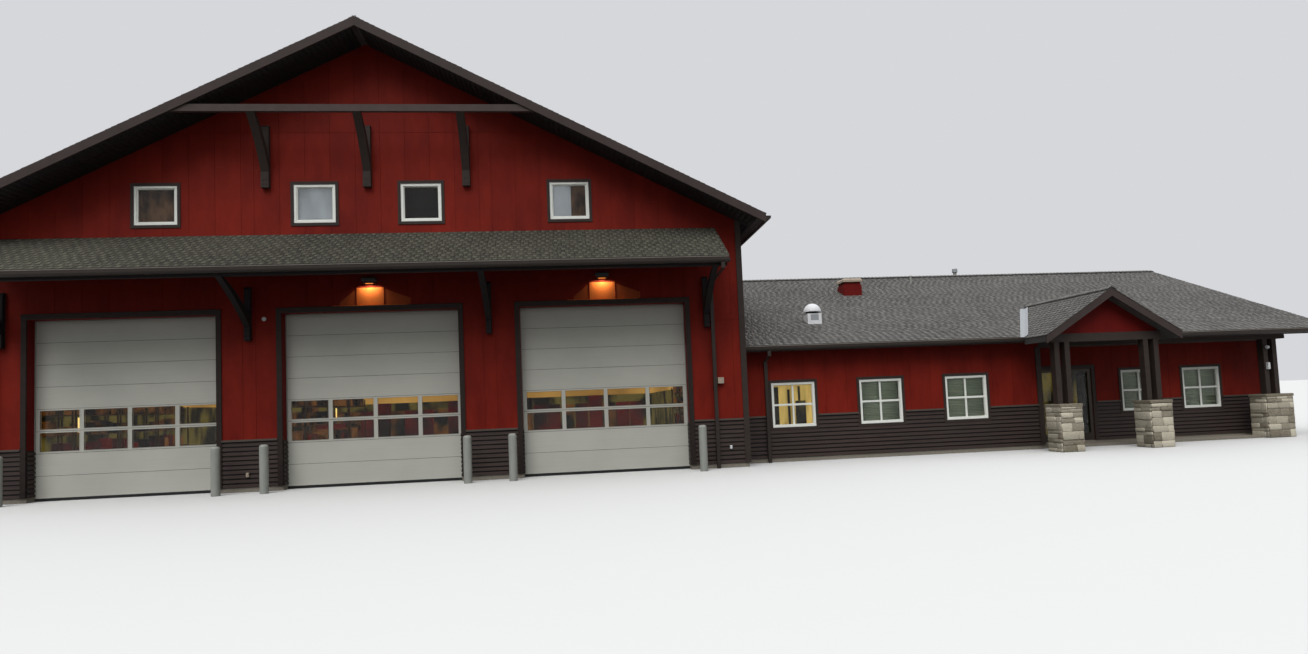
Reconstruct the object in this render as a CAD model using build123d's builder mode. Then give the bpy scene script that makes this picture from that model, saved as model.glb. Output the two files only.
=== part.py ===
from build123d import *
import os
from math import atan2, degrees

# Fire station: a gabled apparatus hall with three overhead doors, and a low office wing on its right.
# Millimetres. X runs along the front to the right, Y into the building, Z up.
# The pieces are drawn with Y = 0 at the face of the hall's front wall, and written with the origin
# on the ground under the middle of the hall.

# Apparatus hall
HALL_WIDTH = 18898
HALL_DEPTH = 21336
HALL_WALL = 290
HALL_RIDGE = 11370
HALL_SLOPE = 0.5
HALL_EAVE = 610
HALL_OVERHANG = 1040
HALL_DECK = 200
RAKE_HEIGHT = 225
BOARD = 40
CORNER_BOARD = 110
CURB = 120
JOINT = 2

# Overhead doors
DOOR_COUNT = 3
DOOR_WIDTH = 4267
SECTION_HEIGHT = 533.4
SECTION_COUNT = 8
SECTION_GAP = 4
GLAZED_SECTIONS = (2, 3)
LIGHTS = 4
DOOR_LEAF = 50
DOOR_LAP = 60
SEAL = 70
STILE = 100
END_STILE = 105
LIGHT_PITCH = 1090
RAIL = 40

# Trim and wainscot
TRIM = 120
TRIM_PROUD = 40
HEAD_TRIM = 140
WAINSCOT_TOP = 1270
WAINSCOT_PROUD = 25
CAP_HEIGHT = 45
CAP_PROUD = 60

# Windows
GABLE_WINDOW = (1000, 970)
GABLE_WINDOW_X = (1295, 5030)
GABLE_WINDOW_Z = 7065
OFFICE_WINDOW = (1219, 1219)
OFFICE_WINDOW_Z = 1550
FRAME_BORDER = 60
FRAME_DEPTH = 110
FRAME_PROUD = 15
WINDOW_TRIM = 75
WINDOW_TRIM_PROUD = 30
PANE = 12

# Gable truss of the hall
COLLAR_DROP = 2330
COLLAR_HEIGHT = 170
COLLAR_DEPTH = 100
BRACKET_X = 2438
BRACKET_WIDTH = 190
BRACKET_DROP = 1585
BRACKET_POST = 110
BRACKET_ARM = 160
BRACKET_BLOCK = 30

# Pent roof over the doors
PENT_PAST_DOORS = 865
PENT_TOP = 6300
PENT_SLOPE = 0.6285
PENT_REACH = 1830
PENT_DECK = 120
PENT_BEAM = 140
PENT_BRACKET_FOOT = 3670
PENT_BRACKET_WIDTH = 140
PENT_BRACKET_INSET = 320

# Gutters and downspouts
GUTTER_WIDTH = 125
GUTTER_HEIGHT = 100
GUTTER_SHEET = 8
FASCIA_LAP = 25
SPOUT = (90, 70)
SPOUT_GAP = 65
SPOUT_INSET = 20
PENT_SPOUT_INSET = 170
WING_SPOUT_INSET = 750

# Office wing
WING_FRONT = 880
WING_DEPTH = 12680
WING_END = 26000
WING_WALL = 200
WING_EAVE = 600
WING_EAVE_TOP = 3120
WING_SLOPE = 5 / 12
WING_DECK = 150
WING_OVERHANG = 1200
WING_PLATE = 2900
WING_WINDOW_INSET = 1511
WING_WINDOW_SPACING = 2500
FRONT_WINDOWS = 3
REAR_WINDOWS = 6
PORCH_WINDOW_X = (21900, 23900)
END_WINDOW_SPACING = 2200
PORCH_START = 18200
PORCH_DEPTH = 800

# Entry gable
ENTRY_CENTRE = 19390
ENTRY_HALF_WIDTH = 1950
ENTRY_SLOPE = 0.625
ENTRY_FRONT = -710
ENTRY_DECK = 180
ENTRY_SETBACK = 350
ENTRY_DOOR = (1900, 2150)
ENTRY_STILE = 110

# Stone plinths and posts
PLINTH = (840, 540)
PLINTH_INSET = 500
ENTRY_PLINTH = 600
PLINTH_HEIGHT = 1270
POST = (140, 200)
POST_SPACING = 300
ENTRY_BEAM = 220

# Slabs
SLAB = 60

# Roof fittings
RIDGE_CAP = 160
RIDGE_CAP_THICK = 25
DOME_VENT_INSET = (2641, 1410)
DOME_BASE = 420
DOME_STAND = 230
DOME_NECK = 340
DOME_GAP = 60
DOME_RADIUS = 260
DOME_RISE = 250
BOX_VENT_INSET = (4971, 4390)
BOX_VENT_SIZE = 620
BOX_VENT_STAND = 250
BOX_VENT_GAP = 90
BOX_VENT_CAP = 120
BOX_VENT_LIP = 25
PIPE_INSETS = ((7711, 5540, 30, 260), (10051, 6770, 65, 510))

# Lights over the doors
LIGHT = (280, 180, 100)
LIGHT_Z = 5010

# Bollards
BOLLARD_RADIUS = 100
BOLLARD_HEIGHT = 1150
BOLLARD_OFFSET = 220
BOLLARD_FRONT = 600
BOLLARD_DOME = 60

# Sizes that follow
half_width = HALL_WIDTH / 2
pier = (HALL_WIDTH - DOOR_COUNT * DOOR_WIDTH) / (DOOR_COUNT + 1)
door_centres = [(DOOR_WIDTH + pier) * (i - (DOOR_COUNT - 1) / 2) for i in range(DOOR_COUNT)]
pent_half_width = half_width - pier + PENT_PAST_DOORS
door_top = SEAL + SECTION_HEIGHT * SECTION_COUNT
roof_edge = half_width + HALL_EAVE
deck_edge = roof_edge - GUTTER_WIDTH - BOARD
wing_left = half_width
collar_bottom = HALL_RIDGE - COLLAR_DROP
wing_back = WING_FRONT + WING_DEPTH
wing_middle = WING_FRONT + WING_DEPTH / 2
wing_right = WING_END + WING_OVERHANG
wing_gutter_front = WING_FRONT - WING_EAVE
wing_deck_front = wing_gutter_front + GUTTER_WIDTH + BOARD
wing_deck_back = wing_back + WING_EAVE - GUTTER_WIDTH - BOARD
porch_wall = WING_FRONT + PORCH_DEPTH
entry_eave = WING_EAVE_TOP
entry_ridge = entry_eave + ENTRY_SLOPE * ENTRY_HALF_WIDTH
entry_left = ENTRY_CENTRE - ENTRY_HALF_WIDTH
entry_right = ENTRY_CENTRE + ENTRY_HALF_WIDTH


def hall_top(x):
    return HALL_RIDGE - HALL_SLOPE * abs(x)


def hall_under(x):
    return hall_top(x) - HALL_DECK


def wing_top(y):
    edge = WING_DEPTH / 2 + WING_EAVE
    return WING_EAVE_TOP + WING_SLOPE * (edge - abs(y - wing_middle))


def wing_under(y):
    return wing_top(y) - WING_DECK


def pent_top(y):
    return PENT_TOP + PENT_SLOPE * y


def pent_under(y):
    return pent_top(y) - PENT_DECK


def entry_top(x):
    return entry_ridge - ENTRY_SLOPE * abs(x - ENTRY_CENTRE)


def entry_under(x):
    return entry_top(x) - ENTRY_DECK


def save(piece, name):
    """Labels a finished piece, moves it so that the origin is under the hall, and writes it."""
    piece.part.label = name
    piece.part.move(Location((0, -HALL_DEPTH / 2, 0)))
    export_step(piece.part, f"parts/{name}.step")


def block(x0, x1, y0, y1, z0, z1, mode=Mode.ADD):
    with Locations(((x0 + x1) / 2, (y0 + y1) / 2, (z0 + z1) / 2)):
        Box(x1 - x0, y1 - y0, z1 - z0, mode=mode)


def along_y(outline, y0, y1, mode=Mode.ADD):
    """Extrudes an outline of (x, z) points from y0 to y1."""
    with BuildSketch(Plane.XZ.offset(-y0)) as profile:
        with BuildLine():
            Polyline(*outline, close=True)
        make_face()
    extrude(profile.sketch, amount=-(y1 - y0), mode=mode)


def along_x(outline, x0, x1, mode=Mode.ADD):
    """Extrudes an outline of (y, z) points from x0 to x1."""
    with BuildSketch(Plane.YZ.offset(x0)) as profile:
        with BuildLine():
            Polyline(*outline, close=True)
        make_face()
    extrude(profile.sketch, amount=x1 - x0, mode=mode)


def cut_windows(face, centres, size, depth):
    with BuildSketch(face) as holes:
        with Locations(*centres):
            Rectangle(*size)
    extrude(holes.sketch, amount=-depth, mode=Mode.SUBTRACT)


def rings(face, centres, size, border, back, front):
    """Flat rings on a wall's face, from back behind it to front before it."""
    with BuildSketch(face.offset(-back)) as outlines:
        with Locations(*centres):
            Rectangle(*size)
            Rectangle(size[0] - 2 * border, size[1] - 2 * border, mode=Mode.SUBTRACT)
    extrude(outlines.sketch, amount=back + front)


def panes(face, centres, size, border, back, thick):
    with BuildSketch(face.offset(-back)) as sheets:
        with Locations(*centres):
            Rectangle(size[0] - 2 * border, size[1] - 2 * border)
    extrude(sheets.sketch, amount=thick)


# Wall faces, each looking out of the building
hall_front = Plane(origin=(0, 0, 0), x_dir=(1, 0, 0), z_dir=(0, -1, 0))
hall_back = Plane(origin=(0, HALL_DEPTH, 0), x_dir=(-1, 0, 0), z_dir=(0, 1, 0))
hall_left = Plane(origin=(-half_width, HALL_DEPTH / 2, 0), x_dir=(0, -1, 0), z_dir=(-1, 0, 0))
wing_front = Plane(origin=(0, WING_FRONT, 0), x_dir=(1, 0, 0), z_dir=(0, -1, 0))
wing_porch = Plane(origin=(0, porch_wall, 0), x_dir=(1, 0, 0), z_dir=(0, -1, 0))
wing_rear = Plane(origin=(0, wing_back, 0), x_dir=(-1, 0, 0), z_dir=(0, 1, 0))
wing_side = Plane(origin=(WING_END, wing_middle, 0), x_dir=(0, 1, 0), z_dir=(1, 0, 0))

gable_centres = [(s * x, GABLE_WINDOW_Z) for x in GABLE_WINDOW_X for s in (-1, 1)]
side_centres = [(s * HALL_DEPTH / 4, OFFICE_WINDOW_Z) for s in (-1, 0, 1)]
wing_window_x = [wing_left + WING_WINDOW_INSET + WING_WINDOW_SPACING * i for i in range(REAR_WINDOWS)]
front_centres = [(x, OFFICE_WINDOW_Z) for x in wing_window_x[:FRONT_WINDOWS]]
porch_centres = [(x, OFFICE_WINDOW_Z) for x in PORCH_WINDOW_X]
rear_centres = [(-x, OFFICE_WINDOW_Z) for x in wing_window_x]
end_centres = [(y, OFFICE_WINDOW_Z) for y in (-END_WINDOW_SPACING, 0, END_WINDOW_SPACING)]
gable_rows = [(hall_front, gable_centres), (hall_back, gable_centres)]
office_rows = [
    (hall_left, side_centres),
    (wing_front, front_centres),
    (wing_porch, porch_centres),
    (wing_rear, rear_centres),
    (wing_side, end_centres),
]

# The hall's piers: the strips of front wall beside the doors
pier_edges = [-half_width]
for centre in door_centres:
    pier_edges += [centre - DOOR_WIDTH / 2, centre + DOOR_WIDTH / 2]
pier_edges.append(half_width)
piers = list(zip(pier_edges[0::2], pier_edges[1::2]))
pier_centres = [(left + right) / 2 for left, right in piers]


def hall_gable_outline(bottom):
    return [
        (-half_width, bottom),
        (half_width, bottom),
        (half_width, hall_under(half_width)),
        (0, hall_under(0)),
        (-half_width, hall_under(half_width)),
    ]


os.makedirs("parts", exist_ok=True)

# Footings: the concrete that shows below the walls
with BuildPart() as footings:
    for left, right in piers:
        block(left, right, 0, HALL_WALL, 0, CURB)
    for side in (-1, 1):
        inner, outer = sorted((side * half_width, side * (half_width - HALL_WALL)))
        block(inner, outer, HALL_WALL + JOINT, HALL_DEPTH - HALL_WALL - JOINT, 0, CURB)
    block(-half_width, half_width, HALL_DEPTH - HALL_WALL, HALL_DEPTH, 0, CURB)
    block(wing_left + JOINT, PORCH_START, WING_FRONT, WING_FRONT + WING_WALL, 0, CURB)
    block(PORCH_START - WING_WALL, PORCH_START, WING_FRONT + WING_WALL + JOINT, porch_wall - JOINT, 0, CURB)
    block(PORCH_START - WING_WALL, WING_END - WING_WALL - JOINT, porch_wall, porch_wall + WING_WALL, 0, CURB)
    block(WING_END - WING_WALL, WING_END, porch_wall, wing_back - WING_WALL - JOINT, 0, CURB)
    block(wing_left + JOINT, WING_END, wing_back - WING_WALL, wing_back, 0, CURB)
save(footings, "footings")

# Floors
with BuildPart() as hall_floor:
    block(-half_width + HALL_WALL, half_width - HALL_WALL, HALL_WALL + DOOR_LEAF + SECTION_GAP,
          HALL_DEPTH - HALL_WALL, 0, SLAB)
save(hall_floor, "hall_floor")

with BuildPart() as wing_floor:
    inside = WING_FRONT + WING_WALL
    block(wing_left, PORCH_START - WING_WALL, inside, wing_back - WING_WALL, 0, SLAB)
    block(PORCH_START - WING_WALL, WING_END - WING_WALL, porch_wall + WING_WALL,
          wing_back - WING_WALL, 0, SLAB)
    block(PORCH_START, WING_END, WING_FRONT, porch_wall, 0, SLAB)
save(wing_floor, "wing_floor")

# Hall walls
with BuildPart() as hall_front_piers:
    for left, right in piers:
        block(left, right, 0, HALL_WALL, CURB, door_top)
save(hall_front_piers, "hall_front_piers")

with BuildPart() as hall_front_gable:
    along_y(hall_gable_outline(door_top), 0, HALL_WALL)
    cut_windows(hall_front, gable_centres, GABLE_WINDOW, HALL_WALL)
save(hall_front_gable, "hall_front_gable")

with BuildPart() as hall_rear_wall:
    along_y(hall_gable_outline(CURB), HALL_DEPTH - HALL_WALL, HALL_DEPTH)
    cut_windows(hall_back, gable_centres, GABLE_WINDOW, HALL_WALL)
save(hall_rear_wall, "hall_rear_wall")


def hall_side_wall(side):
    outer = side * half_width
    inner = side * (half_width - HALL_WALL)
    outline = [(inner, CURB), (outer, CURB), (outer, hall_under(outer)), (inner, hall_under(inner))]
    along_y(outline, HALL_WALL, HALL_DEPTH - HALL_WALL)


with BuildPart() as hall_left_wall:
    hall_side_wall(-1)
    cut_windows(hall_left, side_centres, OFFICE_WINDOW, HALL_WALL)
save(hall_left_wall, "hall_left_wall")

with BuildPart() as hall_right_wall:
    hall_side_wall(1)
save(hall_right_wall, "hall_right_wall")


# Hall roof
def hall_slope(side):
    edge = side * deck_edge
    outline = [(0, hall_under(0)), (edge, hall_under(edge)), (edge, hall_top(edge)), (0, hall_top(0))]
    along_y(outline, BOARD - HALL_OVERHANG, HALL_DEPTH + HALL_OVERHANG - BOARD)


with BuildPart() as hall_roof_left:
    hall_slope(-1)
save(hall_roof_left, "hall_roof_left")

with BuildPart() as hall_roof_right:
    hall_slope(1)
save(hall_roof_right, "hall_roof_right")


def gutter_section(plane, length):
    """A gutter with closed ends: back on the fascia at local x 0, lip at GUTTER_WIDTH, rim at local y 0."""
    foot = GUTTER_WIDTH * 0.62
    belly = GUTTER_HEIGHT * 0.45
    sheet = GUTTER_SHEET
    middle = (foot + GUTTER_WIDTH) / 2
    low = (GUTTER_HEIGHT + belly) / 2
    with BuildSketch(plane) as outside:
        with BuildLine():
            Polyline((foot, -GUTTER_HEIGHT), (0, -GUTTER_HEIGHT), (0, 0), (GUTTER_WIDTH, 0), (GUTTER_WIDTH, -belly))
            ThreePointArc((GUTTER_WIDTH, -belly), (middle + sheet / 2, -low - sheet), (foot, -GUTTER_HEIGHT))
        make_face()
    extrude(outside.sketch, amount=length)
    turn = 1 if length > 0 else -1
    with BuildSketch(plane.offset(turn * sheet)) as inside:
        with BuildLine():
            Polyline((foot, sheet - GUTTER_HEIGHT), (sheet, sheet - GUTTER_HEIGHT), (sheet, 0),
                     (GUTTER_WIDTH - sheet, 0), (GUTTER_WIDTH - sheet, -belly))
            ThreePointArc((GUTTER_WIDTH - sheet, -belly), (middle - sheet / 2, -low), (foot, sheet - GUTTER_HEIGHT))
        make_face()
    extrude(inside.sketch, amount=length - 2 * turn * sheet, mode=Mode.SUBTRACT)


def side_gutter(x, z, direction, y0, y1):
    """A gutter along Y whose back is at x and whose lip is on the side that direction names."""
    if direction > 0:
        gutter_section(Plane(origin=(x, y1, z), x_dir=(1, 0, 0), z_dir=(0, -1, 0)), y1 - y0)
    else:
        gutter_section(Plane(origin=(x, y0, z), x_dir=(-1, 0, 0), z_dir=(0, 1, 0)), y1 - y0)


def front_gutter(y, z, direction, x0, x1):
    """A gutter along X whose back is at y; direction is -1 at a front eave and 1 at a rear one."""
    if direction < 0:
        gutter_section(Plane(origin=(x0, y, z), x_dir=(0, -1, 0), z_dir=(-1, 0, 0)), x0 - x1)
    else:
        gutter_section(Plane(origin=(x0, y, z), x_dir=(0, 1, 0), z_dir=(1, 0, 0)), x1 - x0)


# Collar beam and curved brackets in the front gable
truss_front = BOARD - HALL_OVERHANG
collar_top = collar_bottom + COLLAR_HEIGHT


def hall_reach(z):
    """Half the width under the hall's roof deck at height z."""
    return (hall_under(0) - z) / HALL_SLOPE


with BuildPart() as collar_beam:
    outline = [
        (-hall_reach(collar_bottom), collar_bottom),
        (hall_reach(collar_bottom), collar_bottom),
        (hall_reach(collar_top), collar_top),
        (-hall_reach(collar_top), collar_top),
    ]
    along_y(outline, truss_front, truss_front + COLLAR_DEPTH)
save(collar_beam, "collar_beam")


def knee_bracket(x, width, foot, top, reach):
    """A knee: a wall post on a foot block, and a bowed brace from the block out to the beam."""
    post = BRACKET_POST
    height = top - foot
    block_out = post + BRACKET_BLOCK
    block_top = foot + height / 4
    with BuildSketch(Plane.YZ.offset(x - width / 2)) as profile:
        with BuildLine():
            Polyline((-block_out, block_top), (-block_out, foot), (0, foot), (0, top), (-post / 2, top),
                     (-post, top - post / 2), (-post, foot + height * 0.46))
            ThreePointArc(
                (-post, foot + height * 0.46),
                (-reach * 0.3, foot + height * 0.655),
                (-reach + BRACKET_ARM, top),
            )
            Line((-reach + BRACKET_ARM, top), (-reach, top))
            ThreePointArc(
                (-reach, top),
                (-reach * 0.42, foot + height * 0.58),
                (-post, block_top),
            )
            Line((-post, block_top), (-block_out, block_top))
        make_face()
    extrude(profile.sketch, amount=width)


with BuildPart() as gable_brackets:
    for x in (-BRACKET_X, 0, BRACKET_X):
        knee_bracket(x, BRACKET_WIDTH, collar_bottom - BRACKET_DROP, collar_bottom, -truss_front)
save(gable_brackets, "gable_brackets")

# Pent roof over the three doors
pent_gutter_back = GUTTER_WIDTH - PENT_REACH
pent_deck_front = pent_gutter_back + BOARD
with BuildPart() as pent_roof:
    outline = [
        (0, pent_under(0)),
        (0, pent_top(0)),
        (pent_deck_front, pent_top(pent_deck_front)),
        (pent_deck_front, pent_under(pent_deck_front)),
    ]
    along_x(outline, BOARD - pent_half_width, pent_half_width - BOARD)
save(pent_roof, "pent_roof")

pent_beam_back = pent_deck_front + PENT_BEAM
pent_beam_top = pent_under(pent_deck_front)
pent_beam_bottom = pent_beam_top - PENT_BEAM
with BuildPart() as pent_beam:
    outline = [
        (pent_deck_front, pent_beam_bottom),
        (pent_deck_front, pent_beam_top),
        (pent_beam_back, pent_under(pent_beam_back)),
        (pent_beam_back, pent_beam_bottom),
    ]
    along_x(outline, BOARD - pent_half_width, pent_half_width - BOARD)
save(pent_beam, "pent_beam")

with BuildPart() as pent_brackets:
    for x in [PENT_BRACKET_INSET - pent_half_width] + pier_centres[1:-1] + [pent_half_width - PENT_BRACKET_INSET]:
        knee_bracket(x, PENT_BRACKET_WIDTH, PENT_BRACKET_FOOT, pent_beam_bottom, -pent_deck_front)
save(pent_brackets, "pent_brackets")

# Overhead doors
door_names = ("left_door", "middle_door", "right_door")
leaf_width = DOOR_WIDTH + 2 * DOOR_LAP
leaf_face = Plane(origin=(0, HALL_WALL, 0), x_dir=(1, 0, 0), z_dir=(0, -1, 0))
light_width = LIGHT_PITCH - STILE
end_light_width = DOOR_WIDTH / 2 - END_STILE - LIGHT_PITCH * (LIGHTS / 2 - 1) - STILE / 2
end_light_x = DOOR_WIDTH / 2 - END_STILE - end_light_width / 2
light_height = SECTION_HEIGHT - SECTION_GAP - 2 * RAIL


def light_heights():
    return [SEAL + SECTION_HEIGHT * (section + 1 / 2) for section in GLAZED_SECTIONS]


def inner_lights(centre):
    first = centre - LIGHT_PITCH * (LIGHTS - 3) / 2
    return [(first + LIGHT_PITCH * i, z) for i in range(LIGHTS - 2) for z in light_heights()]


def end_lights(centre):
    return [(centre + side * end_light_x, z) for side in (-1, 1) for z in light_heights()]


def overhead_door(centre):
    for section in range(SECTION_COUNT):
        low = SEAL + SECTION_HEIGHT * section
        block(centre - leaf_width / 2, centre + leaf_width / 2, HALL_WALL, HALL_WALL + DOOR_LEAF,
              low, low + SECTION_HEIGHT - SECTION_GAP)
    cut_windows(leaf_face, inner_lights(centre), (light_width, light_height), DOOR_LEAF)
    cut_windows(leaf_face, end_lights(centre), (end_light_width, light_height), DOOR_LEAF)


for name, centre in zip(door_names, door_centres):
    with BuildPart() as door:
        overhead_door(centre)
    save(door, name)

with BuildPart() as door_glass:
    with BuildSketch(leaf_face.offset(-DOOR_LEAF / 2)):
        for centre in door_centres:
            with Locations(*inner_lights(centre)):
                Rectangle(light_width, light_height)
            with Locations(*end_lights(centre)):
                Rectangle(end_light_width, light_height)
    extrude(amount=PANE)
save(door_glass, "door_glass")

with BuildPart() as door_seals:
    for centre in door_centres:
        block(centre - DOOR_WIDTH / 2, centre + DOOR_WIDTH / 2, HALL_WALL, HALL_WALL + DOOR_LEAF, 0, SEAL)
save(door_seals, "door_seals")

with BuildPart() as door_side_trims:
    for centre in door_centres:
        for side in (-1, 1):
            inner = centre + side * DOOR_WIDTH / 2
            left, right = sorted((inner, inner + side * TRIM))
            block(left, right, -TRIM_PROUD, 0, CURB, door_top)
save(door_side_trims, "door_side_trims")

with BuildPart() as door_head_trims:
    for centre in door_centres:
        reach = DOOR_WIDTH / 2 + TRIM
        outline = [
            (0, door_top),
            (0, door_top + HEAD_TRIM),
            (-TRIM_PROUD * 2, door_top + HEAD_TRIM - TRIM_PROUD / 2),
            (-TRIM_PROUD * 2, door_top + HEAD_TRIM - TRIM_PROUD),
            (-TRIM_PROUD, door_top + HEAD_TRIM - TRIM_PROUD),
            (-TRIM_PROUD, door_top),
        ]
        along_x(outline, centre - reach, centre + reach)
save(door_head_trims, "door_head_trims")


def corner_boards(wall_x, side, wall_y, facing, high, low):
    """The two boards that lap at a wall's outer corner; side and facing point out of the building."""
    inner = wall_x - side * CORNER_BOARD
    outer = wall_x + side * TRIM_PROUD
    y0, y1 = sorted((wall_y, wall_y + facing * TRIM_PROUD))
    along_y([(inner, low), (outer, low), (outer, high(outer)), (inner, high(inner))], y0, y1)
    y0, y1 = sorted((wall_y, wall_y - facing * CORNER_BOARD))
    along_y([(wall_x, low), (outer, low), (outer, high(outer)), (wall_x, high(wall_x))], y0, y1)


with BuildPart() as hall_corner_boards:
    for side in (-1, 1):
        corner_boards(side * half_width, side, 0, -1, hall_under, CURB)
        corner_boards(side * half_width, side, HALL_DEPTH, 1, hall_under, CURB)
save(hall_corner_boards, "hall_corner_boards")


def wing_plate(x):
    return WING_PLATE


with BuildPart() as wing_corner_boards:
    corner_boards(PORCH_START, 1, WING_FRONT, -1, wing_plate, CURB)
    corner_boards(WING_END, 1, porch_wall, -1, wing_plate, CURB)
    corner_boards(WING_END, 1, wing_back, 1, wing_plate, CURB)
save(wing_corner_boards, "wing_corner_boards")


# Wainscot strips as (x0, x1, y0, y1) of the wall's face, on each wall that shows
proud = WAINSCOT_PROUD
hall_strips = []
for left, right in piers:
    low = left + (TRIM if left > -half_width else CORNER_BOARD)
    high = right - (TRIM if right < half_width else CORNER_BOARD)
    hall_strips.append((low, high, -proud, 0))
corner = CORNER_BOARD
hall_strips.append((-half_width + corner, half_width - corner, HALL_DEPTH, HALL_DEPTH + proud))
hall_strips.append((-half_width - proud, -half_width, corner, HALL_DEPTH - corner))
hall_strips.append((half_width, half_width + proud, corner, WING_FRONT - CAP_PROUD - JOINT))
hall_strips.append((half_width, half_width + proud, wing_back + CAP_PROUD + JOINT, HALL_DEPTH - corner))
wing_strips = [
    (wing_left + JOINT, PORCH_START - corner, WING_FRONT - proud, WING_FRONT),
    (PORCH_START + JOINT, ENTRY_CENTRE - ENTRY_DOOR[0] / 2 - TRIM, porch_wall - proud, porch_wall),
    (ENTRY_CENTRE + ENTRY_DOOR[0] / 2 + TRIM, WING_END - corner, porch_wall - proud, porch_wall),
    (WING_END, WING_END + proud, porch_wall + corner, wing_back - corner),
    (wing_left + JOINT, WING_END - corner, wing_back, wing_back + proud),
]


def wainscot(strips, low, high, extra):
    for x0, x1, y0, y1 in strips:
        if x1 - x0 > y1 - y0:
            y0, y1 = (y0 - extra, y1) if y1 in (0, WING_FRONT, porch_wall) else (y0, y1 + extra)
        else:
            x0, x1 = (x0 - extra, x1) if x1 == -half_width else (x0, x1 + extra)
        block(x0, x1, y0, y1, low, high)


def office_reveals(depth):
    """Cuts the office windows and their trim out of the boards on the walls."""
    size = (OFFICE_WINDOW[0] + 2 * WINDOW_TRIM, OFFICE_WINDOW[1] + 2 * WINDOW_TRIM)
    for face, centres in office_rows:
        cut_windows(face, centres, size, -depth)


wall_strips = hall_strips + wing_strips
with BuildPart() as wainscot_boards:
    wainscot(wall_strips, CURB, WAINSCOT_TOP - CAP_HEIGHT, 0)
    office_reveals(WAINSCOT_PROUD)
save(wainscot_boards, "wainscot_boards")

with BuildPart() as wainscot_caps:
    wainscot(wall_strips, WAINSCOT_TOP - CAP_HEIGHT, WAINSCOT_TOP, CAP_PROUD - WAINSCOT_PROUD)
    office_reveals(CAP_PROUD)
save(wainscot_caps, "wainscot_caps")


# Windows
window_groups = [(GABLE_WINDOW, gable_rows), (OFFICE_WINDOW, office_rows)]
with BuildPart() as window_frames:
    for size, rows in window_groups:
        for face, centres in rows:
            rings(face, centres, size, FRAME_BORDER, FRAME_DEPTH - FRAME_PROUD, FRAME_PROUD)
save(window_frames, "window_frames")

with BuildPart() as window_glass:
    for size, rows in window_groups:
        for face, centres in rows:
            panes(face, centres, size, FRAME_BORDER, FRAME_DEPTH / 2, PANE)
save(window_glass, "window_glass")

with BuildPart() as window_trims:
    for size, rows in window_groups:
        outer = (size[0] + 2 * WINDOW_TRIM, size[1] + 2 * WINDOW_TRIM)
        for face, centres in rows:
            rings(face, centres, outer, WINDOW_TRIM, 0, WINDOW_TRIM_PROUD)
save(window_trims, "window_trims")

# Wing walls
with BuildPart() as wing_front_wall:
    back = WING_FRONT + WING_WALL
    outline = [(WING_FRONT, CURB), (WING_FRONT, wing_under(WING_FRONT)), (back, wing_under(back)), (back, CURB)]
    along_x(outline, wing_left, PORCH_START)
    cut_windows(wing_front, front_centres, OFFICE_WINDOW, WING_WALL)
save(wing_front_wall, "wing_front_wall")

with BuildPart() as porch_return_wall:
    block(PORCH_START - WING_WALL, PORCH_START, WING_FRONT + WING_WALL, porch_wall, CURB, WING_PLATE)
save(porch_return_wall, "porch_return_wall")

with BuildPart() as porch_back_wall:
    back = porch_wall + WING_WALL
    block(PORCH_START - WING_WALL, WING_END, porch_wall, back, CURB, WING_PLATE)
    cut_windows(wing_porch, porch_centres, OFFICE_WINDOW, WING_WALL)
    block(ENTRY_CENTRE - ENTRY_DOOR[0] / 2, ENTRY_CENTRE + ENTRY_DOOR[0] / 2, porch_wall, back,
          CURB, CURB + ENTRY_DOOR[1], mode=Mode.SUBTRACT)
save(porch_back_wall, "porch_back_wall")

with BuildPart() as wing_end_wall:
    block(WING_END - WING_WALL, WING_END, porch_wall + WING_WALL, wing_back - WING_WALL, CURB, WING_PLATE)
    cut_windows(wing_side, end_centres, OFFICE_WINDOW, WING_WALL)
save(wing_end_wall, "wing_end_wall")

with BuildPart() as wing_end_gable:
    outline = [
        (WING_FRONT, WING_PLATE),
        (wing_back, WING_PLATE),
        (wing_back, wing_under(wing_back)),
        (wing_middle, wing_under(wing_middle)),
        (WING_FRONT, wing_under(WING_FRONT)),
    ]
    along_x(outline, WING_END - WING_WALL, WING_END)
save(wing_end_gable, "wing_end_gable")

with BuildPart() as wing_rear_wall:
    inner = wing_back - WING_WALL
    block(wing_left, WING_END, inner, wing_back, CURB, WING_PLATE)
    cut_windows(wing_rear, rear_centres, OFFICE_WINDOW, WING_WALL)
    outline = [(inner, WING_PLATE), (wing_back, WING_PLATE), (wing_back, wing_under(wing_back)),
               (inner, wing_under(inner))]
    along_x(outline, wing_left, WING_END - WING_WALL)
save(wing_rear_wall, "wing_rear_wall")

# Beams over the porch and under the entry gable
entry_wall_front = ENTRY_FRONT + ENTRY_SETBACK
entry_beam_left = entry_left + ENTRY_SETBACK
entry_beam_right = entry_right - ENTRY_SETBACK
entry_plate = entry_under(entry_beam_left) - ENTRY_BEAM
with BuildPart() as porch_beams:
    back = WING_FRONT + WING_WALL
    outline = [(WING_FRONT, WING_PLATE), (WING_FRONT, wing_under(WING_FRONT)), (back, wing_under(back)),
               (back, WING_PLATE)]
    along_x(outline, PORCH_START, WING_END - WING_WALL)
    block(entry_beam_left, entry_beam_right, entry_wall_front, entry_wall_front + ENTRY_BEAM,
          entry_plate, entry_plate + ENTRY_BEAM)
save(porch_beams, "porch_beams")

# Porch ceiling over the recess
with BuildPart() as porch_ceiling:
    block(PORCH_START - WING_WALL, WING_END - WING_WALL, WING_FRONT + WING_WALL, porch_wall + WING_WALL,
          WING_PLATE, WING_PLATE + BOARD)
save(porch_ceiling, "porch_ceiling")


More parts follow.
